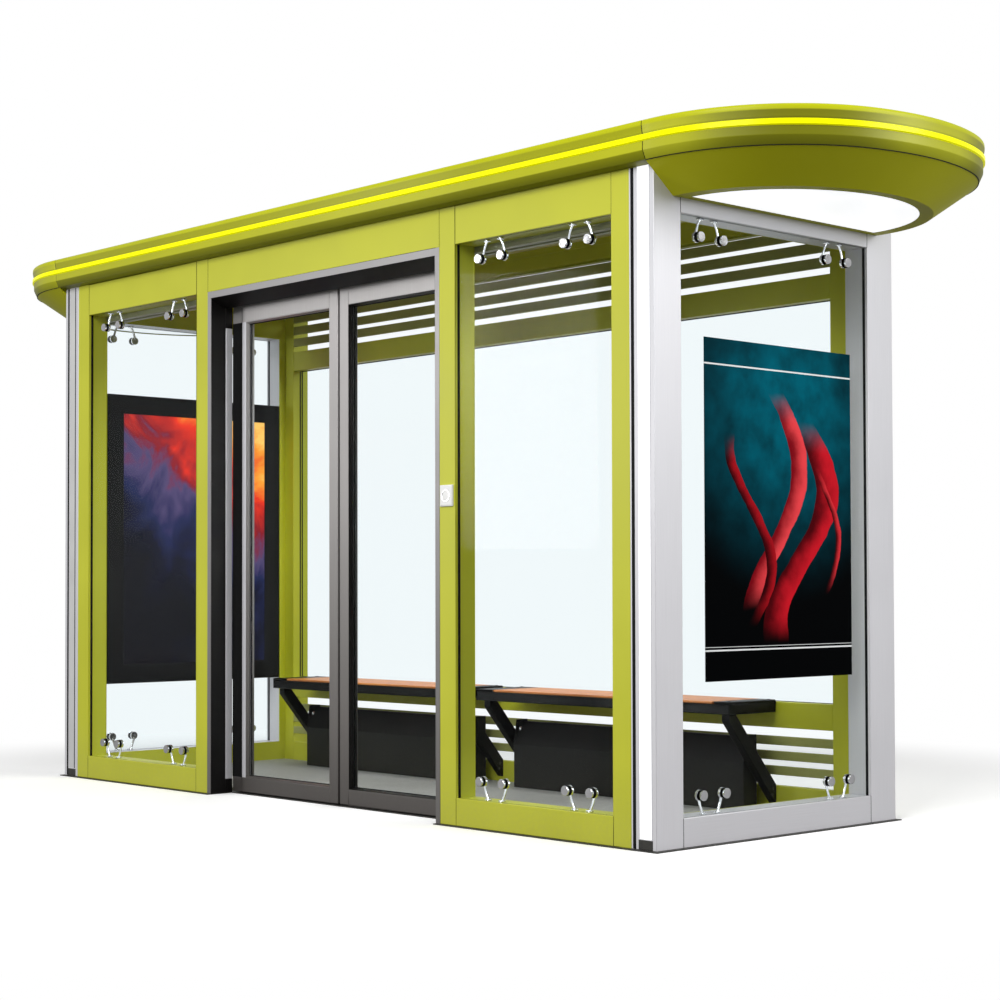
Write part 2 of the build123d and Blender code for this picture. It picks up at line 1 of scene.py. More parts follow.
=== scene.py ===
import json
import math

import bmesh
import bpy
from mathutils import Matrix, Vector


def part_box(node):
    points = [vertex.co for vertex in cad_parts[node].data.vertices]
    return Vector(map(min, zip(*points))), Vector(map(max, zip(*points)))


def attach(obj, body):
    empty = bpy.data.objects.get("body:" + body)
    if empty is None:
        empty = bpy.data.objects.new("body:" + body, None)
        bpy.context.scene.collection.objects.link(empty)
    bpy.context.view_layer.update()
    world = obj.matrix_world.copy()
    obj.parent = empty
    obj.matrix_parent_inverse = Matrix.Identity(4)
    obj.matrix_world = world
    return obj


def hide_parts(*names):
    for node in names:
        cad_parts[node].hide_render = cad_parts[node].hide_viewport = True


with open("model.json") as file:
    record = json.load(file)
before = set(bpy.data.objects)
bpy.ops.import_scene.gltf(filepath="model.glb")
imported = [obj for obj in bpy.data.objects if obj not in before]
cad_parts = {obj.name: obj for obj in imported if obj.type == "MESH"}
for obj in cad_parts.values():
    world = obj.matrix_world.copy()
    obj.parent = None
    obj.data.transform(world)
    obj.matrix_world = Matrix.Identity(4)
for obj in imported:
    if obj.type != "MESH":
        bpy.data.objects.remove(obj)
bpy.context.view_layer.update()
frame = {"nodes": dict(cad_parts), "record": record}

scene = bpy.context.scene
nodes = frame["nodes"]
materials = {}


def linear(hexColour):
    parts = [int(hexColour[i:i + 2], 16) / 255 for i in (1, 3, 5)]
    return (*[c / 12.92 if c <= 0.04045 else ((c + 0.055) / 1.055) ** 2.4 for c in parts], 1.0)


# One node of any tree, with its settings, and links or plain values on its inputs; hands back its outputs.
def addNode(tree, kind, settings=None, inputs=None):
    node = tree.nodes.new(kind)
    for name, value in (settings or {}).items():
        setattr(node, name, value)
    for name, value in (inputs or {}).items():
        if isinstance(value, bpy.types.NodeSocket):
            tree.links.new(value, node.inputs[name])
        else:
            node.inputs[name].default_value = value
    return node.outputs


# Camera, floor and lamps.

cameraLook = {
    "place": (6.7319, -5.8337, 0.9325),
    "yaw": 47.1606,
    "pitch": 1.4833,
    "roll": -0.1498,
    "lens": 71.24,
    "shift": 0.036,
}


def addCamera(look):
    yaw, pitch, roll = (math.radians(look[k]) for k in ("yaw", "pitch", "roll"))
    ahead = Vector((-math.sin(yaw) * math.cos(pitch), math.cos(yaw) * math.cos(pitch), math.sin(pitch)))
    side = Vector((math.cos(yaw), math.sin(yaw), 0))
    above = side.cross(ahead)
    right = side * math.cos(roll) + above * math.sin(roll)
    up = above * math.cos(roll) - side * math.sin(roll)
    data = bpy.data.cameras.new("camera")
    data.lens, data.sensor_width, data.shift_y = look["lens"], 36, look["shift"]
    data.clip_start, data.clip_end = 0.1, 200
    camera = bpy.data.objects.new("camera", data)
    scene.collection.objects.link(camera)
    turn = Matrix((right, up, -ahead)).transposed()
    camera.matrix_world = Matrix.Translation(look["place"]) @ turn.to_4x4()
    scene.camera = camera


studioLook = {
    "skyLight": 0.5,        # what the sky gives to matt surfaces
    "floorSize": 120.0,
    "floorSeen": 1.15,      # brightness of the floor for the eye, so that only the soft shadow shows on it
    "fade": (2.6, 4.2),      # where it runs out into plain white
    "floorInGloss": 0.4,    # and in a gloss
    "floorLit": 0.17,       # share of light that it throws back on the object
    "lamps": [
        # place, aim, size, watts, name, spread in degrees
        ((3.6, -7.3, 5.4), (0.3, -0.7, 1.2), (4.5, 3.5), 430, "key", 180),
        ((8.5, 3.0, 4.0), (2.0, 0.0, 1.2), (3.5, 3.5), 330, "side", 180),
        ((-3.6, -5.4, 2.2), (0.6, -0.7, 1.2), (1.0, 2.0), 80, "fill", 180),
        ((0.0, -0.1, 2.2), (0.0, 0.0, 0.0), (3.2, 0.7), 24, "room", 140),
    ],
}


def addStudio(look):
    scene.view_settings.view_transform = "Standard"
    world = bpy.data.worlds.new("studio")
    scene.world = world
    world.use_nodes = True
    tree = world.node_tree
    tree.nodes.clear()
    level = addNode(tree, "ShaderNodeMapRange", None, {0: seenRay(tree), 3: look["skyLight"], 4: 1.0})
    sky = addNode(tree, "ShaderNodeBackground", None, {"Color": (1, 1, 1, 1), "Strength": level[0]})
    addNode(tree, "ShaderNodeOutputWorld", None, {"Surface": sky[0]})

    for place, aim, size, watts, name, spread in look["lamps"]:
        data = bpy.data.lights.new(name, "AREA")
        data.shape, data.size, data.size_y, data.energy = "RECTANGLE", size[0], size[1], watts
        data.spread = math.radians(spread)
        lamp = bpy.data.objects.new(name, data)
        scene.collection.objects.link(lamp)
        lamp.location = place
        lamp.visible_glossy = lamp.visible_transmission = name != "room"
        lamp.rotation_euler = (Vector(aim) - Vector(place)).to_track_quat("-Z", "Y").to_euler()

    material, tree, place = newMaterial("pale studio floor")
    path = addNode(tree, "ShaderNodeLightPath")
    seen = seenRay(tree)
    level = addNode(tree, "ShaderNodeMapRange", None,
                    {0: path["Is Glossy Ray"], 3: look["floorLit"], 4: look["floorInGloss"]})[0]
    level = addNode(tree, "ShaderNodeMapRange", None, {0: seen, 3: level, 4: look["floorSeen"]})
    colour = addNode(tree, "ShaderNodeCombineXYZ", None, {i: level[0] for i in range(3)})
    matt = addNode(tree, "ShaderNodeBsdfDiffuse", None, {"Color": colour[0]})
    plain = addNode(tree, "ShaderNodeEmission", None, {"Color": (1, 1, 1, 1), "Strength": 1.0})
    far = addNode(tree, "ShaderNodeVectorMath", {"operation": "LENGTH"}, {0: place})["Value"]
    far = addNode(tree, "ShaderNodeMapRange", {"interpolation_type": "SMOOTHSTEP"},
                  {0: far, 1: look["fade"][0], 2: look["fade"][1]})[0]
    far = addNode(tree, "ShaderNodeMath", {"operation": "MULTIPLY"}, {0: far, 1: seen})[0]
    both = addNode(tree, "ShaderNodeMixShader", None, {0: far, 1: matt[0], 2: plain[0]})
    closeMaterial(material, both[0])
    half = look["floorSize"] / 2
    mesh = bpy.data.meshes.new("studio_floor")
    corners = [(-half, -half, 0), (half, -half, 0), (half, half, 0), (-half, half, 0)]
    mesh.from_pydata(corners, [], [(0, 1, 2, 3)])
    mesh.materials.append(material)
    floor = bpy.data.objects.new("studio_floor", mesh)
    scene.collection.objects.link(floor)


# 1 for rays that show a thing to the eye, straight or through glass.
def seenRay(tree):
    path = addNode(tree, "ShaderNodeLightPath")
    return addNode(tree, "ShaderNodeMath", {"operation": "MAXIMUM"},
                   {0: path["Is Camera Ray"], 1: path["Is Transmission Ray"]})[0]


# An empty material, its tree, and the place on the piece that its patterns read.
def newMaterial(name):
    material = bpy.data.materials.new(name)
    material.use_nodes = True
    tree = material.node_tree
    tree.nodes.clear()
    return material, tree, addNode(tree, "ShaderNodeTexCoord")["Object"]


# Closes a material with its shader.
def closeMaterial(material, shader):
    addNode(material.node_tree, "ShaderNodeOutputMaterial", None, {"Surface": shader})
    return material


addCamera(cameraLook)
addStudio(studioLook)
print("camera and studio are set")


# Finishes.

rgba = {"data_type": "RGBA"}
tint = {**rgba, "blend_type": "MULTIPLY"}
smooth = {"interpolation_type": "SMOOTHSTEP"}


# Colours by height, from (height, colour) pairs.
def rampOf(tree, height, levels):
    low, high = levels[0][0], levels[-1][0]
    share = addNode(tree, "ShaderNodeMapRange", None, {0: height, 1: low, 2: high})[0]
    ramp = addNode(tree, "ShaderNodeValToRGB", None, {0: share})
    stops = ramp[0].node.color_ramp.elements
    while len(stops) < len(levels):
        stops.new(0.5)
    for stop, (level, shade) in zip(stops, levels):
        stop.position, stop.color = (level - low) / (high - low), linear(shade)
    return ramp[0]


# Powder coat on aluminium: sprayed and baked, satin, with a faint orange peel, soft clouds of shade and a
# little dust near the ground. Some carry painted shade and highlights by height, and painted shade round the
# corners of the oval ends.
def powderCoat(name, look):
    material, tree, place = newMaterial(name)
    cloud = addNode(tree, "ShaderNodeTexNoise", None,
                    {"Vector": place, "Scale": 1 / look["cloudSize"], "Detail": 2.0})[0]
    peel = addNode(tree, "ShaderNodeTexNoise", None,
                   {"Vector": place, "Scale": 1 / look["peelSize"], "Detail": 2.0})[0]
    spread = addNode(tree, "ShaderNodeMapRange", smooth, {0: cloud, 1: 0.2, 2: 0.8})[0]
    colour = addNode(tree, "ShaderNodeMix", rgba,
                     {0: spread, 6: linear(look["shade"]), 7: linear(look["colour"])})[2]
    across, inwards, height = addNode(tree, "ShaderNodeSeparateXYZ", None, {0: place})
    # Colour by height: on the canopy these bands are painted shade and highlight.
    if "levels" in look:
        ramp = rampOf(tree, height, look["levels"])
        colour = addNode(tree, "ShaderNodeMix", tint, {0: 1.0, 6: colour, 7: ramp})[2]
    # Painted shade: darker patches round the corners of the oval ends, in place of reflections.
    if "corner" in look:
        out = addNode(tree, "ShaderNodeMath", {"operation": "ABSOLUTE"}, {0: across})[0]
        out = addNode(tree, "ShaderNodeMath", {"operation": "SUBTRACT"}, {0: out, 1: look["cornerFrom"]})[0]
        turn = addNode(tree, "ShaderNodeMath", {"operation": "ARCTAN2"}, {0: inwards, 1: out})[0]
        for step, extra in (("MULTIPLY", {1: 2.0}), ("SINE", {}), ("ABSOLUTE", {})):
            turn = addNode(tree, "ShaderNodeMath", {"operation": step}, {0: turn, **extra})[0]
        turn = addNode(tree, "ShaderNodeMapRange", smooth, {0: turn, 1: 0.35, 2: 0.98})[0]
        band = addNode(tree, "ShaderNodeMapRange", None,
                       {0: height, 1: look["cornerTop"], 2: look["cornerTop"] - 0.004})[0]
        turn = addNode(tree, "ShaderNodeMath", {"operation": "MULTIPLY"}, {0: turn, 1: band})[0]
        dark = addNode(tree, "ShaderNodeMix", rgba,
                       {0: turn, 6: (1, 1, 1, 1), 7: linear(look["corner"])})[2]
        colour = addNode(tree, "ShaderNodeMix", tint, {0: 1.0, 6: colour, 7: dark})[2]
    near = addNode(tree, "ShaderNodeMapRange", smooth,
                   {0: height, 1: look["dustTop"], 2: 0.0, 4: look["dust"]})[0]
    speck = addNode(tree, "ShaderNodeTexNoise", None, {"Vector": place, "Scale": 60.0, "Detail": 5.0})[0]
    near = addNode(tree, "ShaderNodeMath", {"operation": "MULTIPLY"}, {0: near, 1: speck})[0]
    colour = addNode(tree, "ShaderNodeMix", rgba, {0: near, 6: colour, 7: linear(look["dustColour"])})[2]
    gloss = addNode(tree, "ShaderNodeMapRange", smooth,
                    {0: cloud, 1: 0.2, 2: 0.8, 3: look["roughness"] - look["uneven"],
                     4: look["roughness"] + look["uneven"]})[0]
    skin = addNode(tree, "ShaderNodeBump", None,
                   {"Strength": 0.4, "Distance": look["peelDepth"], "Height": peel})[0]
    shader = addNode(tree, "ShaderNodeBsdfPrincipled", None, {
        "Base Color": colour, "Roughness": gloss, "Normal": skin, "Specular IOR Level": look["sheen"]})
    return closeMaterial(material, shader[0])


# Extruded and brushed aluminium, anodised: fine lines along the section and a soft sheen; on the doors and
# the casing, painted shade makes it darker towards the foot. The lines are drawn about 2 mm apart, coarser
# than real ones, so that they show.
def brushedAluminium(name, look):
    material, tree, place = newMaterial(name)
    along = addNode(tree, "ShaderNodeMapping", None, {"Vector": place, "Scale": look["grain"]})[0]
    lines = addNode(tree, "ShaderNodeTexNoise", None, {"Vector": along, "Scale": 1.0, "Detail": 3.0})[0]
    cloud = addNode(tree, "ShaderNodeTexNoise", None,
                    {"Vector": place, "Scale": 1 / look["cloudSize"], "Detail": 4.0})[0]
    height = addNode(tree, "ShaderNodeSeparateXYZ", None, {0: place})[2]
    colour = rampOf(tree, height, look["levels"])
    tone = addNode(tree, "ShaderNodeMapRange", None,
                   {0: lines, 1: 0.3, 2: 0.7, 3: 0.0, 4: look["contrast"]})[0]
    colour = addNode(tree, "ShaderNodeMix", tint,
                     {0: tone, 6: colour, 7: linear("#8C8A88")})[2]
    gloss = addNode(tree, "ShaderNodeMapRange", None,
                    {0: cloud, 1: 0.3, 2: 0.7, 3: look["roughness"] - 0.05, 4: look["roughness"] + 0.07})[0]
    skin = addNode(tree, "ShaderNodeBump", None,
                   {"Strength": 0.35, "Distance": 0.00004, "Height": lines})[0]
    skin = addNode(tree, "ShaderNodeBump", None,
                   {"Strength": 1.0, "Distance": 0.0003, "Height": cloud, "Normal": skin})[0]
    shader = addNode(tree, "ShaderNodeBsdfPrincipled", None, {
        "Base Color": colour, "Metallic": look["metallic"], "Roughness": gloss, "Normal": skin})
    return closeMaterial(material, shader[0])


# Polished stainless steel: nearly mirror bright, with faint smears.
def polishedSteel(name, look):
    material, tree, place = newMaterial(name)
    smear = addNode(tree, "ShaderNodeTexNoise", None,
                    {"Vector": place, "Scale": 1 / look["smearSize"], "Detail": 5.0})[0]
    gloss = addNode(tree, "ShaderNodeMapRange", None,
                    {0: smear, 1: 0.3, 2: 0.7, 3: look["roughness"] - 0.04, 4: look["roughness"] + 0.08})[0]
    skin = addNode(tree, "ShaderNodeBump", None, {"Strength": 0.3, "Distance": 0.0001, "Height": smear})[0]
    colour = addNode(tree, "ShaderNodeMix", rgba,
                     {0: smear, 6: linear(look["shade"]), 7: linear(look["colour"])})[2]
    shader = addNode(tree, "ShaderNodeBsdfPrincipled", None,
                     {"Base Color": colour, "Metallic": 1.0, "Roughness": gloss, "Normal": skin})
    return closeMaterial(material, shader[0])


# Toughened float glass: clear, faintly cool, lets lamps through, with a trace of dust. Its IOR is well under
# that of glass, so that the room behind two panes stays as clear as it looks.
def toughenedGlass(name, look):
    material, tree, place = newMaterial(name)
    smear = addNode(tree, "ShaderNodeTexNoise", None, {"Vector": place, "Scale": 1.7, "Detail": 6.0})[0]
    gloss = addNode(tree, "ShaderNodeMapRange", None,
                    {0: smear, 1: 0.45, 2: 0.8, 3: 0.0, 4: look["haze"]})[0]
    shader = addNode(tree, "ShaderNodeBsdfPrincipled", None, {
        "Base Color": linear(look["colour"]), "Roughness": gloss, "IOR": look["ior"],
        "Specular IOR Level": look["sheen"], "Transmission Weight": 1.0})
    clear = addNode(tree, "ShaderNodeBsdfTransparent", None, {"Color": linear(look["lampLight"])})
    path = addNode(tree, "ShaderNodeLightPath")
    dull = addNode(tree, "ShaderNodeMath", {"operation": "MAXIMUM"},
                   {0: path["Is Shadow Ray"], 1: path["Is Diffuse Ray"]})
    both = addNode(tree, "ShaderNodeMixShader", None, {0: dull[0], 1: shader[0], 2: clear[0]})
    return closeMaterial(material, both[0])


# Oiled hardwood, planed: grain along the board, warm orange with darker streaks, satin.
def hardwood(name, look):
    material, tree, place = newMaterial(name)
    along = addNode(tree, "ShaderNodeMapping", None, {"Vector": place, "Scale": (2.2, 60.0, 60.0)})[0]
    grain = addNode(tree, "ShaderNodeTexNoise", None,
                    {"Vector": along, "Scale": 1.0, "Detail": 6.0, "Distortion": 0.6})[0]
    pores = addNode(tree, "ShaderNodeMapping", None, {"Vector": place, "Scale": (25.0, 600.0, 600.0)})[0]
    fine = addNode(tree, "ShaderNodeTexNoise", None, {"Vector": pores, "Scale": 1.0, "Detail": 2.0})[0]
    streak = addNode(tree, "ShaderNodeMapRange", None, {0: grain, 1: 0.38, 2: 0.66})[0]
    colour = addNode(tree, "ShaderNodeMix", rgba,
                     {0: streak, 6: linear(look["dark"]), 7: linear(look["light"])})[2]
    dots = addNode(tree, "ShaderNodeMapRange", None, {0: fine, 1: 0.42, 2: 0.3, 3: 0.0, 4: 0.5})[0]
    colour = addNode(tree, "ShaderNodeMix", rgba, {0: dots, 6: colour, 7: linear(look["pore"])})[2]
    gloss = addNode(tree, "ShaderNodeMapRange", None,
                    {0: grain, 3: look["roughness"] - 0.08, 4: look["roughness"] + 0.1})[0]
    skin = addNode(tree, "ShaderNodeBump", None, {"Strength": 0.5, "Distance": 0.0004, "Height": grain})[0]
    skin = addNode(tree, "ShaderNodeBump", None,
                   {"Strength": 0.4, "Distance": 0.0001, "Height": fine, "Normal": skin})[0]
    shader = addNode(tree, "ShaderNodeBsdfPrincipled", None,
                     {"Base Color": colour, "Roughness": gloss, "Normal": skin,
                      "Coat Weight": 0.15, "Coat Roughness": 0.2})
    return closeMaterial(material, shader[0])


# Vinyl floor sheet: pale grey, speckled and matt.
def speckledFloor(name, look):
    material, tree, place = newMaterial(name)
    chips = addNode(tree, "ShaderNodeTexVoronoi", None,
                    {"Vector": place, "Scale": 1 / look["chipSize"]})["Color"]
    pick = addNode(tree, "ShaderNodeSeparateColor", None, {0: chips})[0]
    cloud = addNode(tree, "ShaderNodeTexNoise", None, {"Vector": place, "Scale": 3.0, "Detail": 5.0})[0]
    colour = addNode(tree, "ShaderNodeMix", rgba,
                     {0: pick, 6: linear(look["dark"]), 7: linear(look["light"])})[2]
    colour = addNode(tree, "ShaderNodeMix", tint, {0: cloud, 6: colour, 7: linear(look["worn"])})[2]
    skin = addNode(tree, "ShaderNodeBump", None, {"Strength": 0.4, "Distance": 0.0003, "Height": pick})[0]
    shader = addNode(tree, "ShaderNodeBsdfPrincipled", None,
                     {"Base Color": colour, "Roughness": 0.6, "Normal": skin})
    return closeMaterial(material, shader[0])


# Opal acrylic over lamps, evenly lit and a touch dimmer in soft patches; also used for the yellow stripe, whose
# glow is painted light.
def litOpal(name, look):
    material, tree, place = newMaterial(name)
    cloud = addNode(tree, "ShaderNodeTexNoise", None,
                    {"Vector": place, "Scale": 1 / look["patch"], "Detail": 1.0})[0]
    colour = addNode(tree, "ShaderNodeMix", rgba,
                     {0: cloud, 6: linear(look["dim"]), 7: linear(look["colour"])})[2]
    grit = addNode(tree, "ShaderNodeTexNoise", None, {"Vector": place, "Scale": 350.0})[0]
    skin = addNode(tree, "ShaderNodeBump", None, {"Strength": 0.2, "Distance": 0.0001, "Height": grit})[0]
    shader = addNode(tree, "ShaderNodeBsdfPrincipled", None, {
        "Base Color": colour, "Roughness": look["roughness"], "Normal": skin, "Specular IOR Level": 0.1,
        "Emission Color": colour, "Emission Strength": look["strength"]})
    return closeMaterial(material, shader[0])


# Soft round patch round a middle in the sheet, 1 inside and 0 outside.
def patch(tree, place, middle, radius, soft):
    far = addNode(tree, "ShaderNodeVectorMath", {"operation": "DISTANCE"}, {0: place, 1: middle})["Value"]
    return addNode(tree, "ShaderNodeMapRange", smooth, {0: far, 1: radius + soft, 2: radius - soft})[0]


posterLook = {
    "low": "#030405", "high": "#015E70",
    "glow": (1.60, 0.75),            # height of the bright haze, and how far it spreads
    "ripple": 0.03,
    # ribbons: middle across, swing, turns a metre, start, half width, foot, head, dark side, light side
    "ribbons": [
        (0.13, 0.16, 1.9, 0.1, 0.070, 0.72, 1.56, "#4A050C", "#CC1A28"),
        (-0.03, 0.15, 1.7, 0.5, 0.048, 0.84, 1.66, "#7C0A16", "#EE464C"),
        (-0.17, 0.12, 2.2, 0.9, 0.028, 0.78, 1.50, "#2E0308", "#A8141E"),
        (0.27, 0.09, 2.4, -0.5, 0.016, 0.90, 1.40, "#3A0408", "#D8323A"),
    ],
    "rule": "#E9ECEC",               # thin rules across the sheet
    "rules": [(0.700, 0.003), (0.712, 0.001), (1.745, 0.003)],
}


# Printed sheet behind a clear film: dark blue green haze on black with red ribbons across it.
def printedSheet(name, look):
    material, tree, place = newMaterial(name)
    flat = addNode(tree, "ShaderNodeVectorMath", {"operation": "MULTIPLY"}, {0: place, 1: (0, 1, 1)})[0]
    wave = addNode(tree, "ShaderNodeTexNoise", None, {"Vector": flat, "Scale": 9.0, "Detail": 4.0})
    sway = addNode(tree, "ShaderNodeVectorMath", {"operation": "SUBTRACT"},
                   {0: wave["Color"], 1: (0.5, 0.5, 0.5)})
    sway = addNode(tree, "ShaderNodeVectorMath", {"operation": "MULTIPLY"},
                   {0: sway[0], 1: (0, look["ripple"], look["ripple"])})[0]
    bent = addNode(tree, "ShaderNodeVectorMath", {"operation": "ADD"}, {0: flat, 1: sway})[0]
    height = addNode(tree, "ShaderNodeSeparateXYZ", None, {0: bent})[2]
    haze = patch(tree, bent, (0, 0.05, look["glow"][0]), look["glow"][1] / 2, look["glow"][1] / 2)
    haze = addNode(tree, "ShaderNodeMath", {"operation": "MULTIPLY"}, {0: haze, 1: wave[0]})[0]
    haze = addNode(tree, "ShaderNodeMath", {"operation": "MULTIPLY"}, {0: haze, 1: 1.8})[0]
    colour = addNode(tree, "ShaderNodeMix", rgba,
                     {0: haze, 6: linear(look["low"]), 7: linear(look["high"])})[2]
    across = addNode(tree, "ShaderNodeSeparateXYZ", None, {0: bent})[1]
    for middle, swing, turns, start, half, foot, head, dark, light in look["ribbons"]:
        angle = addNode(tree, "ShaderNodeMath", {"operation": "MULTIPLY_ADD"},
                        {0: height, 1: turns * math.pi, 2: start})
        line = addNode(tree, "ShaderNodeMath", {"operation": "SINE"}, {0: angle[0]})[0]
        line = addNode(tree, "ShaderNodeMath", {"operation": "MULTIPLY_ADD"},
                       {0: line, 1: swing, 2: middle})[0]
        side = addNode(tree, "ShaderNodeMath", {"operation": "SUBTRACT"}, {0: across, 1: line})[0]
        far = addNode(tree, "ShaderNodeMath", {"operation": "ABSOLUTE"}, {0: side})[0]
        mark = addNode(tree, "ShaderNodeMapRange", smooth, {0: far, 1: half + 0.002, 2: half - 0.002})[0]
        for level, soft in ((foot, 0.12), (head, -0.12)):
            end = addNode(tree, "ShaderNodeMapRange", smooth, {0: height, 1: level, 2: level + soft})[0]
            mark = addNode(tree, "ShaderNodeMath", {"operation": "MULTIPLY"}, {0: mark, 1: end})[0]
        fold = addNode(tree, "ShaderNodeMath", {"operation": "MULTIPLY_ADD"},
                       {0: wave[0], 1: half * 2, 2: side})
        fold = addNode(tree, "ShaderNodeMapRange", smooth, {0: fold[0], 1: 0.0, 2: half * 2})[0]
        tone = addNode(tree, "ShaderNodeMix", rgba, {0: fold, 6: linear(dark), 7: linear(light)})[2]
        colour = addNode(tree, "ShaderNodeMix", rgba, {0: mark, 6: colour, 7: tone})[2]
    rise = addNode(tree, "ShaderNodeSeparateXYZ", None, {0: flat})[2]
    for level, width in look["rules"]:
        line = addNode(tree, "ShaderNodeMath", {"operation": "COMPARE"}, {0: rise, 1: level, 2: width})[0]
        colour = addNode(tree, "ShaderNodeMix", rgba, {0: line, 6: colour, 7: linear(look["rule"])})[2]
    grit = addNode(tree, "ShaderNodeTexNoise", None, {"Vector": flat, "Scale": 500.0})[0]
    gloss = addNode(tree, "ShaderNodeMapRange", None, {0: height, 1: 0.5, 2: 1.9, 3: 0.32, 4: 0.4})[0]
    skin = addNode(tree, "ShaderNodeBump", None, {"Strength": 0.2, "Distance": 0.00005, "Height": grit})[0]
    shader = addNode(tree, "ShaderNodeBsdfPrincipled", None, {
        "Base Color": colour, "Roughness": gloss, "Normal": skin, "Specular IOR Level": 0.01})
    return closeMaterial(material, shader[0])


pictureLook = {
    "bands": [  # share of the height with its colour, from the foot up
        (0.00, "#03030A"), (0.22, "#090B1E"), (0.38, "#1C2148"), (0.50, "#4A3F66"),
        (0.60, "#7C1722"), (0.74, "#D8301C"), (0.90, "#F59A34"), (1.00, "#FFC868"),
    ],
    "span": (0.70, 2.05), "slope": 0.55, "sway": 0.8, "strength": 0.55,
}


# Lit picture behind a dark cover glass: soft bands of cloud from black through red to blue.
def litPicture(name, look):
    material, tree, place = newMaterial(name)
    cloud = addNode(tree, "ShaderNodeTexNoise", None,
                    {"Vector": place, "Scale": 2.6, "Detail": 7.0, "Roughness": 0.62, "Distortion": 0.7})[0]
    parts = addNode(tree, "ShaderNodeSeparateXYZ", None, {0: place})
    rise = addNode(tree, "ShaderNodeMapRange", None,
                   {0: parts[2], 1: look["span"][0], 2: look["span"][1]})[0]
    tilt = addNode(tree, "ShaderNodeMath", {"operation": "MULTIPLY_ADD"},
                   {0: parts[1], 1: look["slope"], 2: rise})[0]
    sway = addNode(tree, "ShaderNodeMath", {"operation": "SUBTRACT"}, {0: cloud, 1: 0.5})[0]
    level = addNode(tree, "ShaderNodeMath", {"operation": "MULTIPLY_ADD"},
                    {0: sway, 1: look["sway"], 2: tilt})[0]
    colour = rampOf(tree, level, look["bands"])
    grid = addNode(tree, "ShaderNodeTexNoise", None, {"Vector": place, "Scale": 900.0})[0]
    skin = addNode(tree, "ShaderNodeBump", None, {"Strength": 0.1, "Distance": 0.00005, "Height": grid})[0]
    gloss = addNode(tree, "ShaderNodeMapRange", None, {0: cloud, 3: 0.12, 4: 0.25})[0]
    shader = addNode(tree, "ShaderNodeBsdfPrincipled", None, {
        "Base Color": colour, "Roughness": gloss, "Normal": skin, "Specular IOR Level": 0.15,
        "Emission Color": colour, "Emission Strength": look["strength"]})
    return closeMaterial(material, shader[0])


# Extruded rubber: black, matt and faintly dusty.
def rubber(name, look):
    material, tree, place = newMaterial(name)
    cloud = addNode(tree, "ShaderNodeTexNoise", None, {"Vector": place, "Scale": 40.0, "Detail": 4.0})[0]
    colour = addNode(tree, "ShaderNodeMix", rgba,
                     {0: cloud, 6: linear(look["colour"]), 7: linear(look["dust"])})[2]
    skin = addNode(tree, "ShaderNodeBump", None, {"Strength": 0.3, "Distance": 0.0002, "Height": cloud})[0]
    shader = addNode(tree, "ShaderNodeBsdfPrincipled", None,
                     {"Base Color": colour, "Roughness": 0.7, "Normal": skin, "Specular IOR Level": 0.15})
    return closeMaterial(material, shader[0])


paintLook = {
    "cloudSize": 0.45, "peelSize": 0.004, "peelDepth": 0.00006, "uneven": 0.04, "sheen": 0.35,
    "dustTop": 0.35, "dust": 0.25, "dustColour": "#8F8B70",
}
materials["lime_paint"] = powderCoat("lime powder coat", {
    **paintLook, "colour": "#C8CA30", "shade": "#BEC028", "roughness": 0.45, "sheen": 0.4})
materials["pale_paint"] = powderCoat("pale lime powder coat", {
    **paintLook, "colour": "#E2E4B4", "shade": "#DADCA8", "roughness": 0.5})
lacquerLook = {**paintLook, "colour": "#FFFFFF", "shade": "#F2F2EE", "roughness": 0.38, "sheen": 0.2,
               "dust": 0.0}
# Painted shade by height: dark where it rolls under, a dark line above the stripe, a dimmer band up to the lip,
# and a brighter lip as painted highlight.
materials["canopy_paint"] = powderCoat("lime lacquer with painted shade where it rolls under", {
    **lacquerLook, "levels": [
    (2.437, "#6C6E04"), (2.466, "#888A06"), (2.470, "#C0C220"), (2.5245, "#C0C220"), (2.526, "#8E9008"),
    (2.532, "#A8AA10"), (2.552, "#A8AA10"), (2.557, "#C6CA08"), (2.570, "#C6CA08")]})
# Painted shade on the oval ends: bands by height, and darker patches round the corners in place of reflections.
materials["end_paint"] = powderCoat("lime lacquer, darker round the corners", {**lacquerLook, "levels": [
    (2.437, "#9A9C18"), (2.466, "#A8AA1E"), (2.470, "#BCBE2A"), (2.5245, "#BCBE2A"), (2.526, "#96980E"),
    (2.532, "#BCBE2A"), (2.552, "#BCBE2A"), (2.557, "#C6CA08"), (2.570, "#C6CA08")],
    "corner": "#B0B080", "cornerFrom": 2.0, "cornerTop": 2.556})
materials["bowl_paint"] = powderCoat("lime lacquer under the roof ends", {
    **lacquerLook, "colour": "#BCBC18", "shade": "#B2B210", "sheen": 0.1})
materials["slat_paint"] = powderCoat("grey olive powder coat", {
    **paintLook, "colour": "#A8AA62", "shade": "#9EA05A", "roughness": 0.5, "sheen": 0.3})
materials["deep_black"] = powderCoat("deep black powder coat", {
    **paintLook, "colour": "#0B0B0C", "shade": "#080809", "roughness": 0.4, "sheen": 0.12, "dust": 0.05})
materials["drive_paint"] = powderCoat("olive grey powder coat", {
    **paintLook, "colour": "#A0A07C", "shade": "#969672", "roughness": 0.5, "sheen": 0.3})
materials["dark_metal"] = powderCoat("graphite powder coat", {
    **paintLook, "colour": "#343436", "shade": "#2B2B2D", "roughness": 0.5, "sheen": 0.2, "dust": 0.15})
materials["black_metal"] = powderCoat("black powder coat", {
    **paintLook, "colour": "#19191A", "shade": "#121213", "roughness": 0.45, "sheen": 0.12, "dust": 0.08})
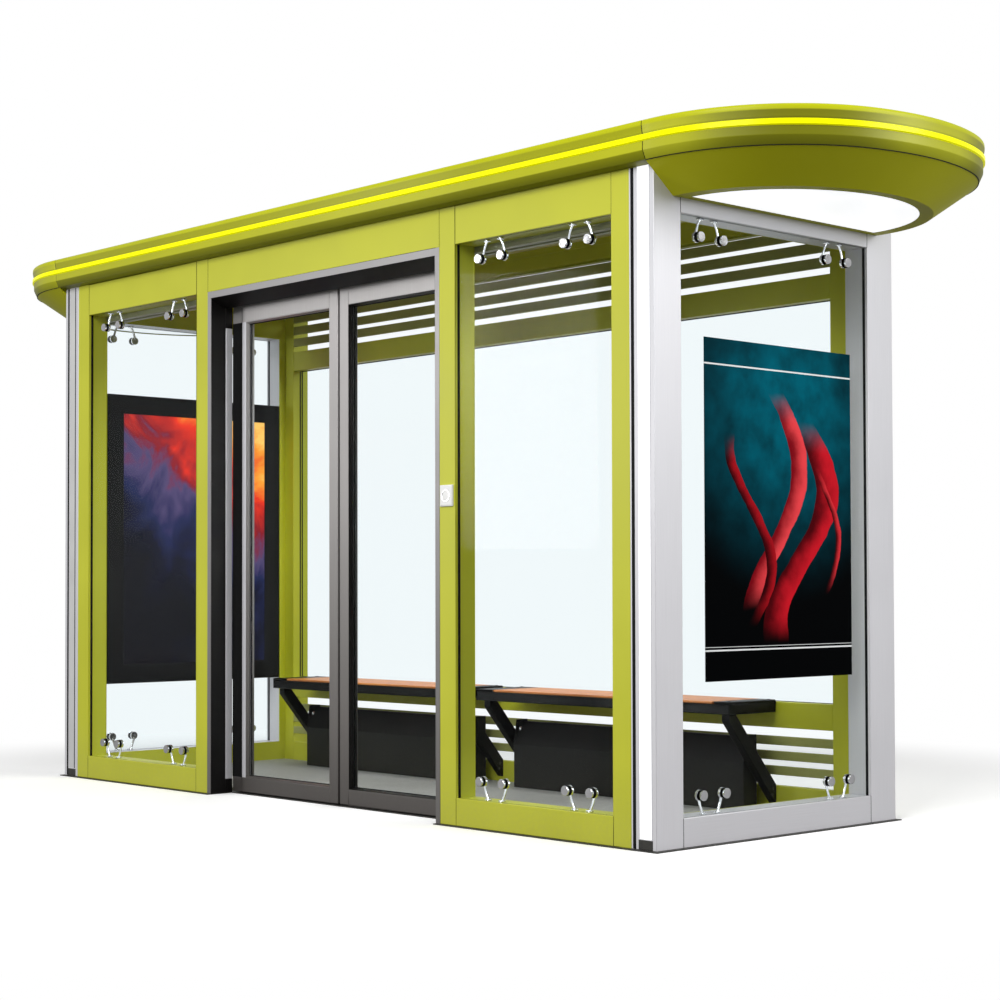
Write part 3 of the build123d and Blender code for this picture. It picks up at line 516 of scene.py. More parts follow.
# The yellow stripe has no lamp; its faint glow is painted light that keeps it bright.
materials["yellow_stripe"] = litOpal("yellow acrylic with a painted glow", {
    "colour": "#FFFF00", "dim": "#F5F500", "patch": 0.2, "roughness": 0.25, "strength": 0.3})
materials["white_light"] = litOpal("lit opal acrylic", {
    "colour": "#FFFFFF", "dim": "#F4F6F8", "patch": 0.15, "roughness": 0.35, "strength": 0.85})
materials["dim_light"] = litOpal("opal acrylic, hardly lit", {
    "colour": "#D2D2D1", "dim": "#C0C0C0", "patch": 0.15, "roughness": 0.35, "strength": 0.0})

anodLook = {"grain": (500, 500, 4), "cloudSize": 0.5, "contrast": 0.12, "roughness": 0.42, "metallic": 0.4}
materials["silver_metal"] = brushedAluminium("clear anodised aluminium", {
    **anodLook, "levels": [(0.0, "#DCDBDF"), (2.4, "#D8D8DC")], "contrast": 0.08,
    "roughness": 0.45, "metallic": 0.3})
materials["silver_rail"] = brushedAluminium("clear anodised aluminium, grain along the wall", {
    **anodLook, "levels": [(0.0, "#D8D7DB"), (2.4, "#D6D6DA")], "grain": (500, 4, 500), "contrast": 0.08,
    "roughness": 0.45, "metallic": 0.3})
# Painted shade by height: the casing, its grey edge and the doors are darker towards the foot.
materials["casing_metal"] = brushedAluminium("black anodised aluminium", {
    **anodLook, "levels": [(0.0, "#100E0D"), (2.3, "#161413")], "contrast": 0.2, "metallic": 0.5})
materials["shaded_casing_edge"] = brushedAluminium("grey anodised aluminium", {
    **anodLook, "levels": [(0.0, "#726F6D"), (2.3, "#A2A0A0")]})
materials["door_metal"] = brushedAluminium("bronze grey anodised aluminium, painted shade at the foot", {
    **anodLook, "levels": [(0.0, "#5C5855"), (0.35, "#736F6C"), (2.3, "#BAB7B6")]})
materials["chrome"] = polishedSteel("polished stainless steel", {
    "colour": "#F0F0F2", "shade": "#BEBEC1", "roughness": 0.14, "smearSize": 0.02})
materials["clear_glass"] = toughenedGlass("clear toughened glass", {
    "colour": "#F8FCFD", "lampLight": "#EAEBEB", "haze": 0.01, "ior": 1.06, "sheen": 0.5})
materials["seat_wood"] = hardwood("oiled hardwood", {
    "light": "#E8954A", "dark": "#C06E28", "pore": "#7A3A12", "roughness": 0.42})
materials["floor"] = speckledFloor("speckled floor sheet", {
    "light": "#B4B4B1", "dark": "#9C9C99", "worn": "#DADAD6", "chipSize": 0.006})
materials["poster"] = printedSheet("printed poster", posterLook)
materials["screen"] = litPicture("lit picture", pictureLook)
materials["white_plastic"] = powderCoat("white moulded plastic", {
    **paintLook, "colour": "#F2F2F0", "shade": "#EAEAE8", "roughness": 0.4})
materials["rubber"] = rubber("black rubber", {"colour": "#0C0C0D", "dust": "#161616"})

slotOf = {part["node"]: part["material_slot"] for part in frame["record"]["subparts"]}
for name, node in nodes.items():
    node.data.materials.clear()
    node.data.materials.append(materials[slotOf[name]])
print("finishes are made")


# Shapes.

def addPiece(name, mesh, slot, body="shelter", replaced=(), material=None):
    piece = bpy.data.objects.new(name, mesh)
    scene.collection.objects.link(piece)
    mesh.name = name
    if not mesh.materials:
        mesh.materials.append(materials[material or slot])
    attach(piece, body)
    if replaced:
        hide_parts(*replaced)
    return piece


# Runs modifiers on a mesh and hands back the plain result.
def finishMesh(mesh, *steps):
    maker = bpy.data.objects.new("maker", mesh)
    scene.collection.objects.link(maker)
    for kind, settings in steps:
        modifier = maker.modifiers.new(kind, kind)
        if kind == "NODES":
            tree, inputs = settings
            modifier.node_group = tree
            sockets = {s.name: s.identifier for s in tree.interface.items_tree if s.in_out == "INPUT"}
            for label, value in inputs.items():
                modifier[sockets[label]] = value
        else:
            for label, value in settings.items():
                setattr(modifier, label, value)
    graph = bpy.context.evaluated_depsgraph_get()
    result = bpy.data.meshes.new_from_object(maker.evaluated_get(graph), depsgraph=graph)
    maker.modifiers.clear()
    bpy.data.objects.remove(maker)
    return result


def meshOf(shape):
    mesh = bpy.data.meshes.new("part")
    shape.to_mesh(mesh)
    shape.free()
    return mesh


# Sections with their sharp edges eased, made from the solids of a node.
def easedMesh(names, width):
    shape = bmesh.new()
    for name in names:
        shape.from_mesh(nodes[name].data)
    bmesh.ops.remove_doubles(shape, verts=shape.verts, dist=0.00002)
    bmesh.ops.dissolve_limit(shape, angle_limit=math.radians(1), verts=shape.verts, edges=shape.edges)
    for face in shape.faces:
        face.material_index = 0
    return shadeEased(finishMesh(meshOf(shape), ("BEVEL", {
        "width": width, "segments": 2, "limit_method": "ANGLE", "angle_limit": math.radians(25)})), width)


# Flat faces stay flat and only the narrow eased edges are shaded round.
def shadeEased(mesh, width):
    shape = bmesh.new()
    shape.from_mesh(mesh)
    for face in shape.faces:
        longest = max(edge.calc_length() for edge in face.edges)
        face.smooth = face.calc_area() < 1.2 * width * longest
    shape.to_mesh(mesh)
    shape.free()
    return mesh


easedLook = {
    "posts": ("shelter", "lime_paint", 0.002, ["front_posts", "front_headers", "front_rails"]),
    "back_frame": ("shelter", "lime_paint", 0.002, ["back_posts"]),
    "back_crossbars": ("shelter", "lime_paint", 0.002, ["back_rails"]),
    "back_slat_rows": ("shelter", "slat_paint", 0.003, ["back_slats"]),
    "corner_sections": ("shelter", "silver_metal", 0.002, ["corner_posts"]),
    "end_crossbars": ("shelter", "silver_rail", 0.002, ["end_rails"]),
    "left_leaf": ("door_left", "door_metal", 0.002, ["door_frame_left"]),
    "right_leaf": ("door_right", "door_metal", 0.002, ["door_frame_right"]),
    "seat_tubes": ("shelter", "deep_black", 0.004, ["bench_frames"]),
    "seat_arms": ("shelter", "deep_black", 0.003, ["bench_arms"]),
    "heater_cases": ("shelter", "black_metal", 0.004, ["heater_boxes"]),
    "casing": ("shelter", "casing_metal", 0.002, ["door_casing_head", "door_casing_jambs"]),
    "guard_strips": ("shelter", "silver_metal", 0.004, ["door_guards"]),
    "drive_cover": ("shelter", "drive_paint", 0.002, ["door_drive_box"]),
    "display_case": ("shelter", "deep_black", 0.003, ["display_housing"]),
}

for name, (body, finish, width, replaced) in easedLook.items():
    mesh = easedMesh(replaced, width)
    if name == "back_crossbars":     # the underside of the top rail slopes up to the back
        for vertex in mesh.vertices:
            if vertex.co.y > 0.6 and 2.41 < vertex.co.z < 2.425:
                vertex.co.z += 0.014
    addPiece(name, mesh, slotOf[replaced[0]], body, replaced, finish)
print("frames are eased")


# A geometry tree with named inputs, each (label, kind).
def newTree(name, *inputs):
    tree = bpy.data.node_groups.new(name, "GeometryNodeTree")
    for label, kind in (("Geometry", "Geometry"), *inputs, ("Finish", "Material")):
        tree.interface.new_socket(name=label, in_out="INPUT", socket_type="NodeSocket" + kind)
    tree.interface.new_socket(name="Geometry", in_out="OUTPUT", socket_type="NodeSocketGeometry")
    return tree, addNode(tree, "NodeGroupInput")


# Ends a tree: real meshes in place of instances, with their finish.
def closeTree(tree, shape, finish):
    shape = addNode(tree, "GeometryNodeRealizeInstances", None, {0: shape})[0]
    shape = addNode(tree, "GeometryNodeSetMaterial", None, {0: shape, "Material": finish})[0]
    addNode(tree, "NodeGroupOutput", None, {0: shape})
    return tree


# Carries the outline of another object along the edges of this one.
def sweepTree():
    tree, given = newTree("carry outline along path", ("Outline", "Object"), ("Close Ends", "Bool"))
    path = addNode(tree, "GeometryNodeMeshToCurve", None, {0: given["Geometry"]})[0]
    path = addNode(tree, "GeometryNodeSetCurveNormal", {"mode": "Z_UP"}, {0: path})[0]
    shape = addNode(tree, "GeometryNodeObjectInfo", None, {0: given["Outline"]})["Geometry"]
    shape = addNode(tree, "GeometryNodeMeshToCurve", None, {0: shape})[0]
    skin = addNode(tree, "GeometryNodeCurveToMesh", None,
                   {"Curve": path, "Profile Curve": shape, "Fill Caps": given["Close Ends"]})[0]
    skin = addNode(tree, "GeometryNodeMergeByDistance", None, {0: skin, "Distance": 0.00001})[0]
    return closeTree(tree, skin, given["Finish"])


def edgeMesh(name, points, closed=False):
    mesh = bpy.data.meshes.new(name)
    count = len(points)
    mesh.from_pydata([Vector(p).to_3d() for p in points],
                     [(i, (i + 1) % count) for i in range(count if closed else count - 1)], [])
    return mesh


sweep = sweepTree()


# An outline is drawn as (outwards, height) and carried along a path with its outside on the right.
def carry(path, outline, material, closed=True, loop=False):
    shape = bpy.data.objects.new("outline", edgeMesh("outline", [(x, -z) for x, z in outline], closed))
    scene.collection.objects.link(shape)
    mesh = finishMesh(edgeMesh("path", path, loop), ("NODES", (sweep, {
        "Outline": shape, "Finish": material, "Close Ends": closed})))
    bpy.data.objects.remove(shape)
    return mesh


def joined(*meshes):
    shape = bmesh.new()
    for mesh in meshes:
        shape.from_mesh(mesh)
    result = meshOf(shape)
    for material in meshes[0].materials:
        result.materials.append(material)
    return result


# Boxes with eased edges, as one mesh.
def blocks(boxes, ease):
    shape = bmesh.new()
    for low, high in boxes:
        size, middle = Vector(high) - Vector(low), (Vector(high) + Vector(low)) / 2
        bmesh.ops.create_cube(shape, size=1, matrix=Matrix.Translation(middle) @ Matrix.Diagonal((*size, 1)))
    mesh = finishMesh(meshOf(shape), ("BEVEL", {"width": ease, "segments": 2, "limit_method": "ANGLE"}))
    return shadeEased(mesh, ease)


wallPlanes = {
    "front": lambda u, v, w: (u, w, v),
    "end": lambda u, v, w: (w, u, v),
}


# A mitred ring round a rectangle; the outline gives (inwards, depth) points of its section.
def ring(rect, outline, plane, soft=30):
    left, right, low, high = rect
    shape = bmesh.new()
    loops = []
    corners = ((left, low, 1, 1), (right, low, -1, 1), (right, high, -1, -1), (left, high, 1, -1))
    for u, v, inU, inV in corners:
        loops.append([shape.verts.new(wallPlanes[plane](u + inU * i, v + inV * i, w)) for i, w in outline])
    for a in range(4):
        for b in range(len(outline)):
            c, d = (b + 1) % len(outline), (a + 1) % 4
            shape.faces.new((loops[a][b], loops[a][c], loops[d][c], loops[d][b]))
    return closedMesh(shape, soft)


# A round part turned about the upright axis from (radius, height) points.
def turned(outline, steps, soft=35):
    shape = bmesh.new()
    loops = []
    for radius, height in outline:
        angles = [math.tau * i / steps for i in range(steps if radius else 1)]
        loops.append([shape.verts.new((radius * math.cos(a), radius * math.sin(a), height)) for a in angles])
    for low, high in zip(loops, loops[1:]):
        for i in range(steps):
            corners = [loop[k % len(loop)] for loop, k in ((low, i), (low, i + 1), (high, i + 1), (high, i))]
            shape.faces.new(list(dict.fromkeys(corners)))
    return closedMesh(shape, soft)


# A bar through stations of (middle, half width, half depth), with its depth along Y.
def lofted(stations, steps, soft=40):
    shape = bmesh.new()
    loops = []
    for i, (middle, width, depth) in enumerate(stations):
        before, after = stations[max(i - 1, 0)][0], stations[min(i + 1, len(stations) - 1)][0]
        across = (Vector(after) - Vector(before)).normalized().cross(Vector((0, 1, 0)))
        turns = [math.tau * k / steps for k in range(steps)]
        loops.append([shape.verts.new(Vector(middle) + across * (width * math.cos(a))
                                      + Vector((0, depth * math.sin(a), 0))) for a in turns])
    for low, high in zip(loops, loops[1:]):
        for k in range(steps):
            shape.faces.new((low[k], low[(k + 1) % steps], high[(k + 1) % steps], high[k]))
    shape.faces.new(loops[0])
    shape.faces.new(loops[-1])
    return closedMesh(shape, soft)


# An upright prism of an outline.
def prism(outline, span, soft=30):
    shape = bmesh.new()
    loops = [[shape.verts.new((x, y, z)) for x, y in outline] for z in span]
    for k in range(len(outline)):
        n = (k + 1) % len(outline)
        shape.faces.new((loops[0][k], loops[0][n], loops[1][n], loops[1][k]))
    shape.faces.new(loops[0])
    shape.faces.new(loops[1])
    return closedMesh(shape, soft)


def closedMesh(shape, soft):
    bmesh.ops.recalc_face_normals(shape, faces=shape.faces)
    return shadeSoft(meshOf(shape), soft)


# A copy turned round the upright axis by half a turn.
def turnedRound(mesh):
    copy = mesh.copy()
    copy.transform(Matrix.Rotation(math.pi, 4, "Z"))
    return copy


# Smooth where the faces meet at less than an angle.
def shadeSoft(mesh, angle):
    shape = bmesh.new()
    shape.from_mesh(mesh)
    for face in shape.faces:
        face.smooth = True
    for edge in shape.edges:
        edge.smooth = edge.calc_face_angle(0) < math.radians(angle)
    shape.to_mesh(mesh)
    shape.free()
    return mesh


canopyLook = {
    "straight": 0.045,       # of the oval end before it bends
    "cornerRadius": 0.648,
    "cornerAngle": 72.0,
    "steps": 24,             # in each corner, and half as many again round the tip
    "seamInset": 0.015,
    "bevel": 0.032,
    "band": 0.031,
    "stripe": 0.024,
    "stripeOut": 0.0077,
    "lipOut": 0.006,
    "lipRadius": 0.011,
    "lipSteps": 5,
    "wallInset": 0.058,
    "gap": 0.003,            # open joint between side and end
}


def ovalEnd(look, inset):
    low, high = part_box("canopy_sides")
    half = high.y - look["lipOut"]
    turn = math.radians(look["cornerAngle"])
    cornerX, cornerY = high.x + look["straight"], half - look["cornerRadius"]
    tipRadius = look["cornerRadius"] + cornerY / math.cos(turn)
    tipX = cornerX - cornerY * math.tan(turn)
    points = [(high.x + look["gap"] / 2, -half + inset)]
    for i in range(look["steps"] + 1):
        a = turn * i / look["steps"]
        r = look["cornerRadius"] - inset
        points.append((cornerX + r * math.sin(a), -cornerY - r * math.cos(a)))
    steps = look["steps"] * 3 // 2
    for i in range(1, steps):
        a = turn + (math.pi - 2 * turn) * i / steps
        r = tipRadius - inset
        points.append((tipX + r * math.sin(a), -r * math.cos(a)))
    points += [(x, -y) for x, y in reversed(points[:look["steps"] + 2])]
    return [(x, y, 0) for x, y in points]


def canopyOutline(look):
    low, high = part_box("canopy_sides")
    top = high.z
    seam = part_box("soffit_bowls")[1].z
    r, out = look["lipRadius"], look["lipOut"]
    turns = [math.pi / 2 * i / look["lipSteps"] for i in range(look["lipSteps"] + 1)]
    stripeTop = seam + look["bevel"] + look["band"] + look["stripe"]
    return [
        (-look["wallInset"], top), (-look["wallInset"], low.z), (-look["seamInset"], seam),
        (0, seam + look["bevel"]), (0, stripeTop), (out, stripeTop + look["band"]),
        *[(out - r + r * math.cos(a), top - r + r * math.sin(a)) for a in turns],
    ]


def makeCanopy(look):
    def eased(mesh):
        return shadeSoft(finishMesh(mesh, ("BEVEL", {
            "width": 0.002, "segments": 2, "limit_method": "ANGLE", "angle_limit": math.radians(22)})), 30)

    low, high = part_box("canopy_sides")
    half = high.y - look["lipOut"]
    outline = canopyOutline(look)
    end = carry(ovalEnd(look, 0), outline, materials["end_paint"])
    end = eased(end)
    addPiece("canopy_end_rim_right", end, "canopy_paint", replaced=["canopy_end_right"])
    addPiece("canopy_end_rim_left", turnedRound(end), "canopy_paint", replaced=["canopy_end_left"])
    line = [(low.x + look["gap"] / 2, -half, 0), (high.x - look["gap"] / 2, -half, 0)]
    side = carry(line, outline, materials["canopy_paint"])
    side = eased(side)
    addPiece("canopy_side_rims", joined(side, turnedRound(side)), "canopy_paint", replaced=["canopy_sides"])

    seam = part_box("soffit_bowls")[1].z
    stripeLow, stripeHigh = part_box("canopy_stripes")
    out, ease = look["stripeOut"], look["stripeOut"] / 2
    straight = [(low.x, -half, 0), (high.x, -half, 0)]
    glow = [(-0.003, stripeLow.z), (0, stripeLow.z), (out, stripeLow.z + ease), (out, stripeHigh.z - ease),
            (0, stripeHigh.z), (-0.003, stripeHigh.z)]
    end, side = (carry(path, glow, materials["yellow_stripe"]) for path in (ovalEnd(look, 0), straight))
    for name, mesh, node in (("stripe_ends", end, "canopy_stripe_ends"),
                             ("stripe_sides", side, "canopy_stripes")):
        addPiece(name, shadeSoft(joined(mesh, turnedRound(mesh)), 30), "yellow_stripe", replaced=[node])
    dark = []
    near, far = -look["seamInset"] - 0.004, -look["seamInset"] + 0.0004
    lip = [(near, seam - 0.0022), (far, seam - 0.0022), (far, seam + 0.0002), (near, seam + 0.0002)]
    line = carry(ovalEnd(look, 0), lip, materials["rubber"])
    dark += [line, turnedRound(line)]
    inner = [(x - 0.0015, z + (0.0015 if z < 2.5 else -0.0015)) for x, z in outline]
    for x in (low.x, high.x):
        joint = carry([(x - 0.006, -half, 0), (x + 0.006, -half, 0)], inner, materials["rubber"])
        dark += [joint, turnedRound(joint)]
    addPiece("canopy_seams", shadeSoft(joined(*dark), 30), "dark_metal", material="rubber")
    addPiece("bowl_shells", softCopy("soffit_bowls"), "canopy_paint", replaced=["soffit_bowls"],
             material="bowl_paint")


# A copy of a node with its curved faces shaded as one.
def softCopy(name, angle=25):
    shape = bmesh.new()
    shape.from_mesh(nodes[name].data)
    bmesh.ops.remove_doubles(shape, verts=shape.verts, dist=0.00002)
    for face in shape.faces:
        face.material_index = 0
    return shadeSoft(meshOf(shape), angle)


makeCanopy(canopyLook)
print("canopy is made")


# Sets a copy of one part on each point, turned by the angles stored on the point.
def placeTree():
    tree, given = newTree("set parts on points", ("Part", "Object"), ("Size", "Float"))
    part = addNode(tree, "GeometryNodeObjectInfo", None, {0: given["Part"]})["Geometry"]
    turn = addNode(tree, "GeometryNodeInputNamedAttribute", {"data_type": "FLOAT_VECTOR"}, {"Name": "turn"})
    turn = addNode(tree, "FunctionNodeEulerToRotation", None, {0: turn["Attribute"]})[0]
    copies = addNode(tree, "GeometryNodeInstanceOnPoints", None, {
        "Points": given["Geometry"], "Instance": part, "Rotation": turn, "Scale": given["Size"]})[0]
    copies = addNode(tree, "GeometryNodeRealizeInstances", None, {0: copies})[0]
    copies = addNode(tree, "GeometryNodeRemoveAttribute", None, {0: copies, "Name": "turn"})[0]
    return closeTree(tree, copies, given["Finish"])


place = placeTree()
quarter = math.pi / 2
facing = {  # turns that bring the upright axis of a part to a side
    "up": (0, 0, 0), "front": (quarter, 0, 0), "back": (-quarter, 0, 0),
    "right": (0, quarter, 0), "left": (0, -quarter, 0),
}


# Copies of a part on spots of ((x, y, z), turn).
def placed(part, spots, finish, size=1.0):
    points = bpy.data.meshes.new("points")
    points.from_pydata([spot for spot, turn in spots], [], [])
    turns = points.attributes.new("turn", "FLOAT_VECTOR", "POINT")
    for value, (spot, turn) in zip(turns.data, spots):
        value.vector = facing.get(turn, turn)
    holder = bpy.data.objects.new("part", part)
    scene.collection.objects.link(holder)
    mesh = finishMesh(points, ("NODES", (place, {"Part": holder, "Size": size, "Finish": materials[finish]})))
    bpy.data.objects.remove(holder)
    return mesh


# Glass clamps: a turned cap outside the pane, a hub inside, and an arm down to the frame; set in pairs.
clampLook = {
    "spread": 0.063, "root": 0.038, "drop": 0.072, "arm": 0.015,
    "cap": [(0, 0.017), (0.0172, 0.017), (0.0188, 0.0158), (0.019, 0.0150), (0.019, 0.0132), (0.0176, 0.0128),
            (0.0176, 0.0062), (0, 0.0062)],
    "hub": [(0, 0.0058), (0.0190, 0.0062), (0.0195, 0.007), (0.0195, 0.0150), (0.0180, 0.017), (0, 0.017)],
    "washer": [(0, 0.005), (0.0190, 0.005), (0.0190, 0.0068), (0, 0.0068)],
    "frontPairs": (-1.5905, -1.0365, 1.131, 1.601), "frontPane": -0.682, "frontLevels": (0.183, 2.207),
    "endPairs": (-0.3803, 0.3608), "endPane": 1.981, "endLevels": (0.181, 2.201),
    "steps": 32,
}


def makeClamps(look):
    outwards = Matrix.Rotation(quarter, 4, "X")
    inwards = Matrix.Rotation(-quarter, 4, "X")
    metal, soft = [], []
    for side in (-1, 1):
        middle = Matrix.Translation((side * look["spread"], 0, 0))
        for outline, turn, bin in ((look["cap"], outwards, metal), (look["hub"], inwards, metal),
                                   (look["washer"], outwards, soft), (look["washer"], inwards, soft)):
            mesh = turned(outline, look["steps"])
            mesh.transform(middle @ turn)
            bin.append(mesh)
        arm, drop = look["arm"], look["drop"]
        top, foot = side * look["spread"], side * look["root"]
        stations = []
        for share, width, depth in ((0.12, 0.0075, 0.0045), (0.3, 0.0062, 0.0042), (0.6, 0.0055, 0.004),
                                    (0.86, 0.0058, 0.004), (0.95, 0.0085, 0.0052), (1.0, 0.0095, 0.006)):
            bend = side * 0.005 * math.sin(math.pi * share)
            stations.append(((top + (foot - top) * share + bend, arm, -drop * share), width, depth))
        metal.append(lofted(stations, 12))
        jaws = [((foot + x0, arm - 0.008, -drop), (foot + x1, arm + 0.008, -drop + 0.007))
                for x0, x1 in ((-0.013, -0.004), (0.004, 0.013))]
        metal.append(blocks(jaws, 0.0015))
    spots = []
    for level, over in zip(look["frontLevels"], (0, math.pi)):
        spots += [((x, look["frontPane"], level), (0, over, 0)) for x in look["frontPairs"]]
    for level, over in zip(look["endLevels"], (0, math.pi)):
        for side in (-1, 1):
            turn = (0, over, side * quarter)
            spots += [((side * look["endPane"], y, level), turn) for y in look["endPairs"]]
    addPiece("clamp_metal", placed(joined(*metal), spots, "chrome"), "chrome",
             replaced=["front_clamps", "end_clamps"])
    addPiece("clamp_washers", placed(joined(*soft), spots, "rubber"), "black_metal")


makeClamps(clampLook)
print("clamps are set")


# Lays a row of boards with rounded edges side by side.
def boardTree():
    sizes = [(label, "Float") for label in ("Length", "Width", "Thickness", "Gap", "Rounding")]
    tree, given = newTree("row of boards", *sizes, ("Count", "Int"))
    far = addNode(tree, "ShaderNodeCombineXYZ", None, {0: given["Length"]})[0]
    line = addNode(tree, "GeometryNodeCurvePrimitiveLine", None, {"End": far})[0]
    line = addNode(tree, "GeometryNodeSetCurveNormal", {"mode": "Z_UP"}, {0: line})[0]
    section = addNode(tree, "GeometryNodeCurvePrimitiveQuadrilateral", None,
                      {"Width": given["Width"], "Height": given["Thickness"]})[0]
    section = addNode(tree, "GeometryNodeFilletCurve", {"mode": "POLY"},
                      {"Curve": section, "Radius": given["Rounding"], "Count": 3})[0]
    board = addNode(tree, "GeometryNodeCurveToMesh", None,
                    {"Curve": line, "Profile Curve": section, "Fill Caps": True})[0]
    step = addNode(tree, "ShaderNodeMath", {"operation": "ADD"}, {0: given["Width"], 1: given["Gap"]})[0]
    step = addNode(tree, "ShaderNodeCombineXYZ", None, {1: step})[0]
    row = addNode(tree, "GeometryNodeMeshLine", {"mode": "OFFSET"},
                  {"Count": given["Count"], "Offset": step})[0]
    row = addNode(tree, "GeometryNodeInstanceOnPoints", None, {"Points": row, "Instance": board})[0]
    return closeTree(tree, row, given["Finish"])


benchLook = {
    "boards": 4, "gap": 0.008, "rounding": 0.0025,
    "rightStart": 0.095,     # where the boards of the right bench begin
    "leftEnd": -0.249,       # and where those of the left one end
    "screw": [(0, 0.0012), (0.003, 0.0012), (0.0034, 0.0028), (0.0055, 0.0026), (0.0068, 0.0014), (0.007, 0),
              (0, 0)],
    "ends": ((-1.59, -0.159), (-0.025, 1.495)),
    "screwIn": (0.02, 0.025),                    # seat screws from the ends and sides of a bench
    "legScrews": ((0.553, 0.10), (0.548, 0.075)),  # (y, z) of the screws on the legs
    "legs": (0.095, 0.057),                      # and how far from the left end these stand
    "bolt": [(0, 0.0075), (0.006, 0.0072), (0.0105, 0.0052), (0.013, 0.0022), (0.0135, 0), (0, 0)],
    "cheekBolt": (0.464, 0.279), "armWidth": 0.04, "armIn": 0.056, "cheekIn": 0.009, "cheek": 0.004,
    "sunk": 0.0004,          # how far a screw head sits in
}


def makeBenches(look):
    low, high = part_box("bench_boards")
    count = look["boards"]
    width = (high.y - low.y - (count - 1) * look["gap"]) / count
    tree = boardTree()
    rows = []
    for start, end in ((low.x, look["leftEnd"]), (look["rightStart"], high.x)):
        row = finishMesh(bpy.data.meshes.new("row"), ("NODES", (tree, {
            "Length": end - start, "Width": width, "Thickness": high.z - low.z, "Gap": look["gap"],
            "Rounding": look["rounding"], "Count": count, "Finish": materials["seat_wood"]})))
        row.transform(Matrix.Translation((start, low.y + width / 2, (low.z + high.z) / 2)))
        rows.append(shadeSoft(row, 40))
    addPiece("seat_boards", joined(*rows), "seat_wood", replaced=["bench_boards"])

    screw = turned(look["screw"], 16)
    inX, inY = look["screwIn"]
    spots = []
    for left, right in look["ends"]:
        for x in (left + inX, right - inX):
            spots += [((x, y, high.z - look["sunk"]), "up") for y in (low.y + inY, high.y - inY)]
    for left, right in look["ends"]:
        for x in (*(left + leg for leg in look["legs"]), right - 0.001):
            spots += [((x, y, z), "right") for y, z in look["legScrews"]]
    addPiece("seat_screws", placed(screw, spots, "dark_metal"), "black_metal")
    bolts = []
    for left, right in look["ends"]:
        cheek = left + look["armIn"] + look["armWidth"] + look["cheekIn"] + look["cheek"]
        bolts += [((cheek - 0.001, *look["cheekBolt"]), "right"),
                  ((right - look["armWidth"] - look["cheekIn"], *look["cheekBolt"]), "left")]
    addPiece("heater_bolts", placed(turned(look["bolt"], 24), bolts, "chrome"), "chrome")


makeBenches(benchLook)
print("benches are laid")


# Doorway: grey edge on the front of the casing; black blocks above and below the guards, a black strip over
# each leaf's outer stile and black beads on the right leaf stand in as painted shade.
doorwayLook = {
    "face": 0.026, "lip": 0.03, "proud": 0.001, "seal": 0.0008,
    "stile": 0.028,          # inner stile beside the black strip of painted shade at the outer side of each leaf
    "bead": 0.008, "beadBack": 0.0165, "guardShadeTop": 2.254,
    # The right leaf's beads are black as painted shade on its reveal; the left ones keep the door metal.
    "beadFinishAndShade": {"left": "door_metal", "right": "casing_metal"},
    "leafTop": 2.245, "leafDeep": 0.05, "noseClear": 0.004,
    "nose": [(-0.001, -0.012), (0.002, -0.011), (0.004, -0.005), (0.004, 0.005), (0.002, 0.011),
             (-0.001, 0.012)],
}


